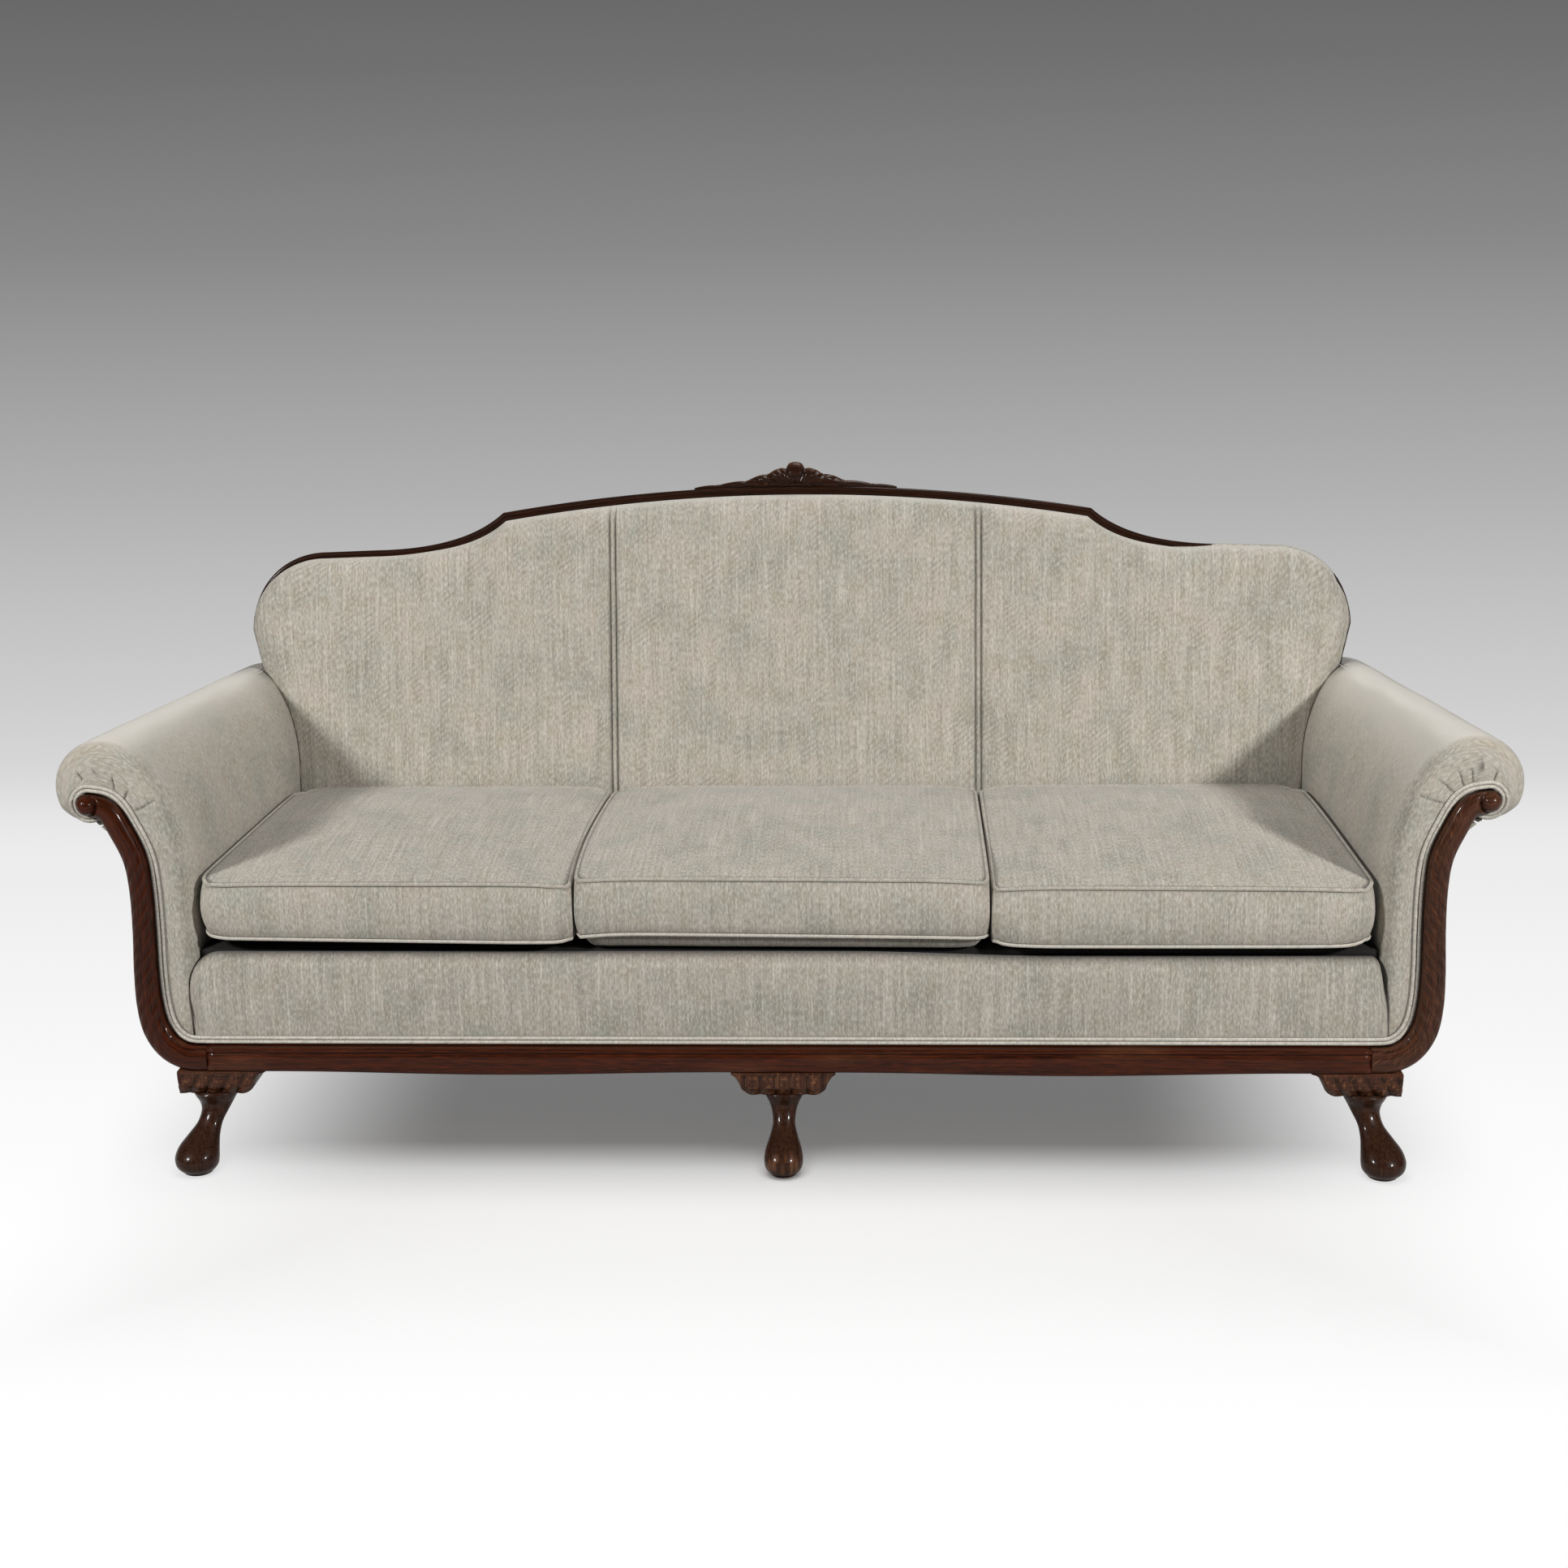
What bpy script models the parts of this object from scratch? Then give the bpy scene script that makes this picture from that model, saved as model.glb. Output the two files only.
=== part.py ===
# Camelback sofa: hardwood frame, zigzag springs, upholstery, carved show-wood, three loose seat cushions.
# Metres, +Z up, the front faces -Y, the origin is under the middle of the sofa on the floor.
import math

import bmesh
import bpy
from mathutils import Matrix, Vector

for old in list(bpy.data.objects):
    bpy.data.objects.remove(old, do_unlink=True)

# Seat and arms in plan
FRONT_Y = -0.3368  # front face of the upholstery
FRAME_DEPTH = 0.6136  # from the front face to the back frame, at the height of the seat rails
SEAT_FRONT_HALF = 0.852  # inside face of an arm at the front
SEAT_BACK_HALF = 0.828  # inside face of an arm at the back
GAP = 0.0003  # clearance between fitted pieces

# Seat frame
FRAME_BOTTOM = 0.1476
RAIL_TOP = 0.300
RAIL_THICK = 0.035
BORDER_THICK = 0.025
BORDER_TOP = 0.3225
APRON_BOTTOM = 0.1473
APRON_TOP = 0.189
APRON_INSET = 0.0123  # the apron stops short of the inside of the arms
APRON_HALF = SEAT_FRONT_HALF - APRON_INSET
APRON_FRONT = 0.022  # how far the apron stands in front of the upholstery
APRON_WAVE = 0.0045
DECK_TOP = 0.3260
SPRING_RADIUS = 0.002
SPRING_SWING = 0.022
SPRING_SPACING = 0.2476 * SEAT_BACK_HALF
SPRING_COUNT = 8
CROSS_RAIL_X = 0.35 * SEAT_FRONT_HALF
CROSS_RAIL_WIDTH = 0.030
CROSS_RAIL_LOW = 0.190
CROSS_RAIL_HIGH = 0.270
BLOCK_LEG = 0.090
BLOCK_LOW = 0.185
BLOCK_HIGH = 0.275

# Arms
ROLL_FRONT_OUT = 0.118  # middle of the roll, outside the inner face of the arm
ROLL_BACK_OUT = 0.089
ROLL_FRONT_X = SEAT_FRONT_HALF + ROLL_FRONT_OUT
ROLL_BACK_X = SEAT_BACK_HALF + ROLL_BACK_OUT
ROLL_FRONT_Z = 0.567
ROLL_BACK_Z = 0.545
ROLL_RADIUS = 0.070
ROLL_TUCK = 0.25  # how far the roll closes in towards its underside
ARM_RISE_FRONT = 0.400  # where the inside face starts to curve outward
ARM_RISE_BACK = 0.460
ARM_PAD = 0.038
ARM_PLATE = 0.020  # padding over the front of the arm
ARM_FOOT = 0.160
ARM_THICK_FRONT = 0.080
ARM_THICK_BACK = 0.0835
ARM_SIDE_FRONT = SEAT_FRONT_HALF + ARM_THICK_FRONT
ARM_SIDE_BACK = SEAT_BACK_HALF + ARM_THICK_BACK
ARM_COVER = 0.003
SIDE_CURVE = ((0.012, 0.190), (0.004, 0.215), (0.0, 0.250))  # how the outside closes in at its foot
ARM_RAIL_IN = 0.035
ARM_RAIL_OUT = 0.020
ARM_RAIL_UP = 0.010
ARM_RAIL_DOWN = 0.055
SLAB_FOOT = 0.302
STUMP_FOOT = 0.158
TACK_LOW = 0.347
TACK_HIGH = 0.387
TACK_WIDTH = 0.025

# Back
RAKE = math.radians(8.14)
BACK_THICK = 0.040
POST_INSET = 0.029  # from the inner face of the arm to the post
POST_WIDTH = 0.036
POST_IN = SEAT_BACK_HALF + POST_INSET
POST_OUT = POST_IN + POST_WIDTH
POST_TOP = 0.660
UPRIGHT_WIDTH = 0.045
UPRIGHT_THICK = 0.030
UPRIGHT_TOP = 0.750
BACK_TACK_LOW = 0.332
BACK_TACK_HIGH = 0.382
OUTSIDE_BACK = 0.004
ARCH_TOP = 0.9053
BACK_OVER = 0.092  # how far the back reaches over the arms
BACK_HALF = SEAT_BACK_HALF + BACK_OVER
STEP_X = 0.5301 * BACK_HALF
STEP_Z = 0.8655
SHOULDER_IN = 0.215
SHOULDER_X = BACK_HALF - SHOULDER_IN
SHOULDER_Z = 0.8055
CORNER_IN = 0.134
CORNER_X = BACK_HALF - CORNER_IN
CORNER_Z = 0.803
SIDE_Z = 0.6745
SIDE_FOOT = 0.6225
SIDE_TAPER = 0.012  # how far the sides of the back close in above the arms
OUTSIDE_OVER = 0.0122
OUTSIDE_HALF = POST_OUT + OUTSIDE_OVER
MOULD_HIGH = 0.014
MOULD_FRONT = 0.012
MOULD_BACK = 0.0455
PAD_FOOT = 0.330
PAD_LOW_THICK = 0.062
PAD_TOP_THICK = 0.046
PAD_CROWN = 0.014
SEAM_X = 0.3533 * SEAT_FRONT_HALF
SEAM_DEEP = 0.007
CREST_HALF = 0.168
CREST_HIGH = 0.0393

# Seat cushions
CUSHION_SPLIT = 0.3498 * SEAT_FRONT_HALF
CUSHION_GAP = 0.0015
CUSHION_LOW = 0.344
CUSHION_HIGH = 0.430
CUSHION_CROWN = 0.030
CUSHION_SAG = 0.0320
CUSHION_FRONT = 0.004
CUSHION_DEPTH = 0.550
CUSHION_SIDE = 0.005

# Legs
LEG_INSET = 0.014
LEG_X = SEAT_FRONT_HALF - LEG_INSET
LEG_BLOCK_TOP = 0.1470
LEG_BLOCK_LOW = 0.1110
LEG_BLOCK_FRONT = 0.020
LEG_BLOCK_DEPTH = 0.080
FOOT_RADIUS = 0.032
FOOT_OUT = 0.021
FOOT_FORWARD = 0.040
NECK_RADIUS = 0.0172
MIDDLE_FOOT = 0.88  # the middle leg is a little slimmer
REAR_LEG_TOP = 0.040
REAR_LEG_FOOT = 0.030
REAR_LEG_KICK = 0.058
REAR_LEG_X = POST_IN + POST_WIDTH / 2

# Show-wood facings and the double welt beside them
FACING_FRONT = 0.024
EYE_OUT = 0.1346
EYE_X = SEAT_FRONT_HALF + EYE_OUT
EYE_Z = 0.5512
EYE_RADIUS = 0.015
FLUTE_DEEP = 0.0035
FLUTE_PITCH = 0.026
WELT_CORD = 0.003

UP_Y = FRONT_Y + FRAME_DEPTH
PALE = (0.47, 0.43, 0.37)
MAHOGANY = (0.05, 0.018, 0.009)
BEECH = (0.50, 0.33, 0.19)
STEEL = (0.45, 0.45, 0.46)
BLACK_CLOTH = (0.03, 0.03, 0.03)

sofa = bpy.data.collections.new("camelback_sofa")
tools = bpy.data.collections.new("cutters")
bpy.context.scene.collection.children.link(sofa)
bpy.context.scene.collection.children.link(tools)


def finish(obj, colour, rough=0.6, metal=0.0):
    look = bpy.data.materials.new(obj.name + "_finish")
    look.use_nodes = True
    shader = look.node_tree.nodes["Principled BSDF"]
    shader.inputs["Base Color"].default_value = (*colour, 1.0)
    shader.inputs["Roughness"].default_value = rough
    shader.inputs["Metallic"].default_value = metal
    obj.data.materials.append(look)
    sofa.objects.link(obj)
    return obj


def fabric(obj):
    return finish(obj, PALE, 0.9)


def show_wood(obj):
    return finish(obj, MAHOGANY, 0.3)


def timber(obj):
    return finish(obj, BEECH, 0.7)


def cutter(obj):
    tools.objects.link(obj)
    obj.hide_render = True
    obj.display_type = "WIRE"
    return obj


def cut(obj, *others):
    for other in others:
        modifier = obj.modifiers.new("cut " + other.name, "BOOLEAN")
        modifier.operation = "DIFFERENCE"
        modifier.solver = "EXACT"
        modifier.object = other


def loft(name, sections, panel=False):
    # A skin over loops with the same number of points, closed at both ends; a thin panel's ends are strips
    bm = bmesh.new()
    rings = []
    for section in sections:
        rings.append([bm.verts.new(point) for point in section])
    count = len(rings[0])
    for near, far in zip(rings, rings[1:]):
        for i in range(count):
            j = (i + 1) % count
            bm.faces.new((near[i], near[j], far[j], far[i]))
    for ring in (rings[0], rings[-1]):
        if panel:
            for i in range(count // 2 - 1):
                bm.faces.new((ring[i], ring[i + 1], ring[-2 - i], ring[-1 - i]))
        else:
            bm.faces.new(ring)
    bmesh.ops.recalc_face_normals(bm, faces=bm.faces[:])
    if bm.calc_volume(signed=True) < 0:
        bmesh.ops.reverse_faces(bm, faces=bm.faces[:])
    mesh = bpy.data.meshes.new(name)
    bm.to_mesh(mesh)
    bm.free()
    return bpy.data.objects.new(name, mesh)


def box(name, low, high):
    low = Vector(low)
    high = Vector(high)
    bm = bmesh.new()
    size = Matrix.Diagonal((*(high - low), 1.0))
    bmesh.ops.create_cube(bm, size=1.0, matrix=Matrix.Translation((low + high) / 2) @ size)
    mesh = bpy.data.meshes.new(name)
    bm.to_mesh(mesh)
    bm.free()
    return bpy.data.objects.new(name, mesh)


def plate(name, outline, low, high, plane, rounding=0.0):
    # A flat outline with a thickness: plane "xz" is thick along Y, "xy" along Z and "yz" along X
    area = sum(a[0] * b[1] - b[0] * a[1] for a, b in zip(outline, outline[1:] + outline[:1]))
    if area < 0:
        outline = outline[::-1]
    curve = bpy.data.curves.new(name, "CURVE")
    curve.dimensions = "2D"
    curve.fill_mode = "BOTH"
    curve.extrude = (high - low) / 2 - rounding
    curve.bevel_depth = rounding
    curve.bevel_resolution = 1
    curve.offset = -rounding
    spline = curve.splines.new("POLY")
    spline.points.add(len(outline) - 1)
    for point, (a, b) in zip(spline.points, outline):
        point.co = (a, b, 0.0, 1.0)
    spline.use_cyclic_u = True
    obj = bpy.data.objects.new(name, curve)
    middle = (low + high) / 2
    if plane == "xz":
        obj.matrix_world = Matrix.Translation((0, middle, 0)) @ Matrix.Rotation(math.pi / 2, 4, "X")
    elif plane == "yz":
        turn = Matrix(((0, 0, 1, 0), (1, 0, 0, 0), (0, 1, 0, 0), (0, 0, 0, 1)))
        obj.matrix_world = Matrix.Translation((middle, 0, 0)) @ turn
    else:
        obj.matrix_world = Matrix.Translation((0, 0, middle))
    return obj


def wire(name, points, radius):
    curve = bpy.data.curves.new(name, "CURVE")
    curve.dimensions = "3D"
    curve.bevel_depth = radius
    curve.bevel_resolution = 0
    curve.use_fill_caps = True
    spline = curve.splines.new("POLY")
    spline.points.add(len(points) - 1)
    for point, place in zip(spline.points, points):
        point.co = (*place, 1.0)
    return bpy.data.objects.new(name, curve)


def smooth_path(points, steps):
    # A curve through the points, each an equal-length tuple
    path = []
    for i in range(len(points) - 1):
        p0 = points[max(i - 1, 0)]
        p1 = points[i]
        p2 = points[i + 1]
        p3 = points[min(i + 2, len(points) - 1)]
        for k in range(steps):
            t = k / steps
            weights = (
                (-t + 2 * t * t - t**3) / 2,
                (2 - 5 * t * t + 3 * t**3) / 2,
                (t + 4 * t * t - 3 * t**3) / 2,
                (-t * t + t**3) / 2,
            )
            path.append(tuple(sum(w * p[c] for w, p in zip(weights, (p0, p1, p2, p3))) for c in range(len(p1))))
    path.append(points[-1])
    return path


def mix(a, b, t):
    return a + (b - a) * t


def taper(front, back, y):
    return mix(front, back, (y - FRONT_Y) / FRAME_DEPTH)


def back_y(z):
    return UP_Y + (z - RAIL_TOP) * math.tan(RAKE)


def raked(x, s, n):
    # A place on the leaning back: s up its slope from the rail top, n behind the face of its frame
    y = UP_Y + s * math.sin(RAKE) + n * math.cos(RAKE)
    z = RAIL_TOP + s * math.cos(RAKE) - n * math.sin(RAKE)
    return Vector((x, y, z))


def up(z):
    return (z - RAIL_TOP) / math.cos(RAKE)


# Seat frame
rail_front = FRONT_Y + BORDER_THICK + GAP
rail_back = rail_front + RAIL_THICK
stump_in = max(taper(SEAT_FRONT_HALF, SEAT_BACK_HALF, y) for y in (FRONT_Y + ARM_PLATE, rail_back)) + ARM_PAD + GAP
rail_half = stump_in - GAP
timber(box("front_seat_rail", (-rail_half, rail_front, FRAME_BOTTOM), (rail_half, rail_back, RAIL_TOP)))


def raked_beam(name, x0, x1, s0, s1, n0, n1):
    # A straight timber that leans with the back
    ends = []
    for x in (x0, x1):
        ends.append([raked(x, s0, n0), raked(x, s1, n0), raked(x, s1, n1), raked(x, s0, n1)])
    return loft(name, ends)


frame_foot = up(FRAME_BOTTOM) + BACK_THICK * math.tan(RAKE)
rear_in = POST_IN - GAP
timber(raked_beam("rear_seat_rail", -rear_in, rear_in, frame_foot, up(RAIL_TOP), 0.0, RAIL_THICK))
for side, word in ((-1, "left"), (1, "right")):
    # Side rail, from the stump to the back post, closing in towards the back
    ends = []
    for far in (False, True):
        loop = []
        corners = [(None, FRAME_BOTTOM), (None, RAIL_TOP), (0.0, RAIL_TOP)]
        corners += [(inward, height) for inward, height in reversed(SIDE_CURVE)]
        for inward, z in corners:
            y = back_y(z) - GAP if far else rail_back + GAP
            x = taper(SEAT_FRONT_HALF, SEAT_BACK_HALF, y) + ARM_PAD + GAP
            if inward is not None:
                x = taper(ARM_SIDE_FRONT, ARM_SIDE_BACK, y) - ARM_COVER - GAP - inward
            loop.append((side * x, y, z))
        ends.append(loop)
    timber(loft("side_seat_rail_" + word, ends))
    # Cross rail under the springs
    x0 = side * CROSS_RAIL_X - CROSS_RAIL_WIDTH / 2
    x1 = side * CROSS_RAIL_X + CROSS_RAIL_WIDTH / 2
    ends = []
    for x in (x0, x1):
        loop = []
        for z in (CROSS_RAIL_LOW, CROSS_RAIL_HIGH):
            loop.append((x, back_y(z) - GAP, z))
        loop.append((x, rail_back + GAP, CROSS_RAIL_HIGH))
        loop.append((x, rail_back + GAP, CROSS_RAIL_LOW))
        ends.append(loop)
    timber(loft("cross_rail_" + word, ends))
    # Glued corner blocks
    y0 = rail_back + GAP
    x0 = min(taper(SEAT_FRONT_HALF, SEAT_BACK_HALF, y) for y in (y0, y0 + BLOCK_LEG)) + ARM_PAD
    corner = [(side * x0, y0), (side * (x0 - BLOCK_LEG), y0), (side * x0, y0 + BLOCK_LEG)]
    timber(plate("front_corner_block_" + word, corner, BLOCK_LOW, BLOCK_HIGH, "xy"))
    y1 = back_y(BLOCK_LOW) - GAP
    x1 = min(taper(SEAT_FRONT_HALF, SEAT_BACK_HALF, y) for y in (y1, y1 - BLOCK_LEG)) + ARM_PAD
    corner = [(side * x1, y1), (side * (x1 - BLOCK_LEG), y1), (side * x1, y1 - BLOCK_LEG)]
    timber(plate("rear_corner_block_" + word, corner, BLOCK_LOW, BLOCK_HIGH, "xy"))

# Zigzag springs from the front rail to the rear rail
spring_z = RAIL_TOP + SPRING_RADIUS + GAP
spring_start = rail_front + 0.010
spring_end = UP_Y + 0.022
for n in range(SPRING_COUNT):
    middle = (n - (SPRING_COUNT - 1) / 2) * SPRING_SPACING
    turns = 9
    pitch = (spring_end - spring_start) / turns
    points = []
    for k in range(turns):
        sway = SPRING_SWING if k % 2 else -SPRING_SWING
        points.append((middle + sway, spring_start + (k + 0.2) * pitch, spring_z))
        points.append((middle + sway, spring_start + (k + 0.8) * pitch, spring_z))
    finish(wire("seat_spring_" + str(n + 1), points, SPRING_RADIUS), STEEL, 0.35, 1.0)

# Padded deck over the springs and dust cover under the frame
deck_low = spring_z + SPRING_RADIUS + GAP
deck_front = FRONT_Y + BORDER_THICK + GAP
deck_back = back_y(deck_low) - 0.022
deck = []
for side, y in ((-1, deck_front), (1, deck_front), (1, deck_back), (-1, deck_back)):
    deck.append((side * (taper(SEAT_FRONT_HALF, SEAT_BACK_HALF, y) - GAP), y))
fabric(plate("seat_deck", deck, deck_low, DECK_TOP, "xy"))
dust = []
dust_front = rail_back + GAP
dust_back = back_y(FRAME_BOTTOM) - GAP
for side, y in ((-1, dust_front), (1, dust_front), (1, dust_back), (-1, dust_back)):
    dust.append((side * (taper(SEAT_FRONT_HALF, SEAT_BACK_HALF, y) + ARM_PAD), y))
finish(plate("dust_cover", dust, FRAME_BOTTOM, FRAME_BOTTOM + 0.002, "xy"), BLACK_CLOTH, 0.95)

# Front border, rounded along its top edge
turn = BORDER_THICK * 0.8
border_low = APRON_TOP + 0.0005
border = [(FRONT_Y + BORDER_THICK, border_low), (FRONT_Y + BORDER_THICK, BORDER_TOP)]
for k in range(6):
    angle = math.pi / 2 * (1 + k / 5)
    border.append((FRONT_Y + turn + turn * math.cos(angle), BORDER_TOP - turn + turn * math.sin(angle)))
border.append((FRONT_Y, border_low))
border_half = taper(SEAT_FRONT_HALF, SEAT_BACK_HALF, FRONT_Y + BORDER_THICK) - GAP
fabric(plate("front_border", border, -border_half, border_half, "yz"))

# Show-wood apron with a waved lower edge
apron = [(APRON_HALF, APRON_BOTTOM), (APRON_HALF, APRON_TOP), (-APRON_HALF, APRON_TOP), (-APRON_HALF, APRON_BOTTOM)]
for k in range(1, 40):
    x = mix(-APRON_HALF, APRON_HALF, k / 40)
    bay = abs(x) / LEG_X
    dip = math.sin(math.pi * min(max((bay - 0.10) / 0.78, 0.0), 1.0)) ** 2
    apron.append((x, APRON_BOTTOM - APRON_WAVE * dip))
show_wood(plate("front_apron", apron, FRONT_Y - APRON_FRONT, FRONT_Y + BORDER_THICK, "xz", 0.003))

# Arms
def arm_loop(y, shrink):
    inner = taper(SEAT_FRONT_HALF, SEAT_BACK_HALF, y) + shrink
    x = taper(ROLL_FRONT_X, ROLL_BACK_X, y)
    z = taper(ROLL_FRONT_Z, ROLL_BACK_Z, y)
    rise = taper(ARM_RISE_FRONT, ARM_RISE_BACK, y)
    radius = ROLL_RADIUS - shrink
    side = taper(ARM_SIDE_FRONT, ARM_SIDE_BACK, y) - ARM_COVER - GAP
    loop = [(inner, ARM_FOOT), (inner, rise)]
    for k in range(1, 8):
        angle = math.pi / 2 * k / 7
        loop.append((x - (x - inner) * math.cos(angle), rise + (z + radius - rise) * math.sin(angle)))
    for k in range(1, 12):
        angle = math.radians(90 - 165 * k / 11)
        reach = radius * (1 - ROLL_TUCK * max(0.0, -math.degrees(angle) - 25) / 50)
        loop.append((x + reach * math.cos(angle), z + reach * math.sin(angle)))
    loop += [(side, z - 0.090), (side, 0.250), (side - 0.012, 0.190), (side - 0.040, ARM_FOOT)]
    return loop


def lower_cut(y):
    # What the frame fills under the padding of the arm
    inner = taper(SEAT_FRONT_HALF, SEAT_BACK_HALF, y) + ARM_PAD
    x = taper(ROLL_FRONT_X, ROLL_BACK_X, y)
    z = taper(ROLL_FRONT_Z, ROLL_BACK_Z, y)
    rise = taper(ARM_RISE_FRONT, ARM_RISE_BACK, y)
    ledge = z - ROLL_RADIUS * (1 - ROLL_TUCK) * 0.945
    return [
        (inner - 0.15, 0.05),
        (inner - 0.15, SLAB_FOOT),
        (inner, SLAB_FOOT),
        (inner, rise + 0.030),
        (x - ARM_RAIL_IN - GAP, ledge),
        (x + 0.25, ledge),
        (x + 0.25, 0.05),
    ]


def rail_cut(y):
    x = taper(ROLL_FRONT_X, ROLL_BACK_X, y)
    z = taper(ROLL_FRONT_Z, ROLL_BACK_Z, y)
    x0 = x - ARM_RAIL_IN - GAP
    x1 = x + ARM_RAIL_OUT + GAP
    top = z + ARM_RAIL_UP + GAP
    return [(x0, z - 0.100), (x0, top), (x1, top), (x1, z - 0.100)]


def cover_line(y):
    # The outside of an arm, from its foot up to the underside of the roll
    side = taper(ARM_SIDE_FRONT, ARM_SIDE_BACK, y)
    x = taper(ROLL_FRONT_X, ROLL_BACK_X, y) + 0.003
    z = taper(ROLL_FRONT_Z, ROLL_BACK_Z, y)
    top = z - ARM_RAIL_DOWN - GAP
    line = [(side - inward, height) for inward, height in SIDE_CURVE]
    for k in range(6):
        t = k / 5
        low = z - 0.150
        knee = z - 0.085
        line.append((mix(side, mix(side, x, t), t), mix(mix(low, knee, t), mix(knee, top, t), t)))
    return line


def flat(loop, y, side):
    return [(side * x, y, z) for x, z in loop]


def leaning(make, n, side):
    # The loop where it meets a face that leans with the back
    placed = []
    for i in range(len(make(UP_Y))):
        y = UP_Y
        for _ in range(4):
            x, z = make(y)[i]
            y = back_y(z) + n / math.cos(RAKE)
        placed.append((side * x, y, z))
    return placed


def full_arm(y):
    return arm_loop(y, 0.0)


def rail_loop(y):
    x = taper(ROLL_FRONT_X, ROLL_BACK_X, y)
    z = taper(ROLL_FRONT_Z, ROLL_BACK_Z, y)
    x0 = x - ARM_RAIL_IN
    x1 = x + ARM_RAIL_OUT
    return [(x0, z - ARM_RAIL_DOWN), (x0, z + ARM_RAIL_UP), (x1, z + ARM_RAIL_UP), (x1, z - ARM_RAIL_DOWN)]


def tack_loop(y):
    x = taper(SEAT_FRONT_HALF, SEAT_BACK_HALF, y) + ARM_PAD + 2 * GAP
    return [(x, TACK_LOW), (x, TACK_HIGH), (x + TACK_WIDTH, TACK_HIGH), (x + TACK_WIDTH, TACK_LOW)]


def cover_loop(y):
    line = cover_line(y)
    return line + [(x - ARM_COVER, z) for x, z in reversed(line)]


roll_end = BACK_THICK
far = back_y(0.7) + 0.1
plate_back = FRONT_Y + ARM_PLATE
stump_front = plate_back + GAP
for side, word in ((-1, "left"), (1, "right")):
    # Padded arm: a rounded front, a straight run and a back end that leans with the back
    stations = []
    for deep, shrink in ((0.0, 0.014), (0.004, 0.005), (0.011, 0.001), (ARM_PLATE, 0.0)):
        stations.append(flat(arm_loop(FRONT_Y + deep, shrink), FRONT_Y + deep, side))
    for share in (0.36, 0.68):
        stations.append(flat(full_arm(FRONT_Y + share * FRAME_DEPTH), FRONT_Y + share * FRAME_DEPTH, side))
    stations.append(leaning(full_arm, roll_end - GAP, side))
    arm = fabric(loft("arm_pad_" + word, stations))
    lower = cutter(loft("arm_frame_" + word, [flat(lower_cut(y), y, side) for y in (plate_back, far)]))
    ends = [flat(rail_cut(plate_back), plate_back, side), leaning(rail_cut, 0.0, side)]
    channel = cutter(loft("arm_channel_" + word, ends))
    ends = []
    for x in (POST_IN - 0.15, POST_OUT + GAP):
        loop = []
        for z, n in ((0.05, -GAP), (0.05, 0.3), (0.95, 0.3), (0.95, -GAP)):
            loop.append((side * x, back_y(z) + n / math.cos(RAKE), z))
        ends.append(loop)
    cut(arm, lower, channel, cutter(loft("post_space_" + word, ends)))

    # Stump behind the facing
    y0 = stump_front
    y1 = rail_back
    outer = []
    for near, back in zip(cover_line(y0), cover_line(y1)):
        outer.append((min(near[0], back[0]) - ARM_COVER - GAP, back[1]))
    x = taper(ROLL_FRONT_X, ROLL_BACK_X, y0)
    xb = taper(ROLL_FRONT_X, ROLL_BACK_X, y1)
    zb = taper(ROLL_FRONT_Z, ROLL_BACK_Z, y1)
    ledge = zb - ROLL_RADIUS * (1 - ROLL_TUCK) * 0.945 - 0.003
    rise = ARM_RISE_FRONT + 0.030
    under_z = taper(ROLL_FRONT_Z, ROLL_BACK_Z, y0) - ARM_RAIL_DOWN
    outline = [(stump_in, STUMP_FOOT), (stump_in + 0.004, STUMP_FOOT)] + outer + [(outer[-1][0], under_z)]
    outline += [(xb + ARM_RAIL_OUT, under_z), (xb + ARM_RAIL_OUT, zb + ARM_RAIL_UP)]
    outline += [(x - ARM_RAIL_IN + GAP, zb + ARM_RAIL_UP), (x - ARM_RAIL_IN + GAP, ledge), (stump_in, rise)]
    timber(plate("arm_stump_" + word, [(side * a, b) for a, b in outline], y0, y1, "xz"))

    # Arm top rail inside the roll, from the stump to the back post, and the tacking rail below it
    for name, make in (("arm_top_rail_", rail_loop), ("arm_tack_rail_", tack_loop)):
        start = rail_back + GAP
        timber(loft(name + word, [flat(make(start), start, side), leaning(make, -GAP, side)]))

    # Covered outside of the arm
    ends = [flat(cover_loop(stump_front), stump_front, side)]
    ends.append(leaning(cover_loop, BACK_THICK, side))
    fabric(loft("outside_arm_" + word, ends, panel=True))

# Back frame
for side, word in ((-1, "left"), (1, "right")):
    x0 = side * POST_IN
    x1 = side * POST_OUT
    timber(raked_beam("back_post_" + word, x0, x1, frame_foot, up(POST_TOP) - GAP, 0.0, BACK_THICK))
    x0 = side * SEAM_X - UPRIGHT_WIDTH / 2
    x1 = side * SEAM_X + UPRIGHT_WIDTH / 2
    low = up(BACK_TACK_HIGH) + GAP
    timber(raked_beam("back_upright_" + word, x0, x1, low, up(UPRIGHT_TOP) - GAP, 0.0, UPRIGHT_THICK))
timber(raked_beam("back_tack_rail", -rear_in, rear_in, up(BACK_TACK_LOW), up(BACK_TACK_HIGH), 0.0, UPRIGHT_THICK))


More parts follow.
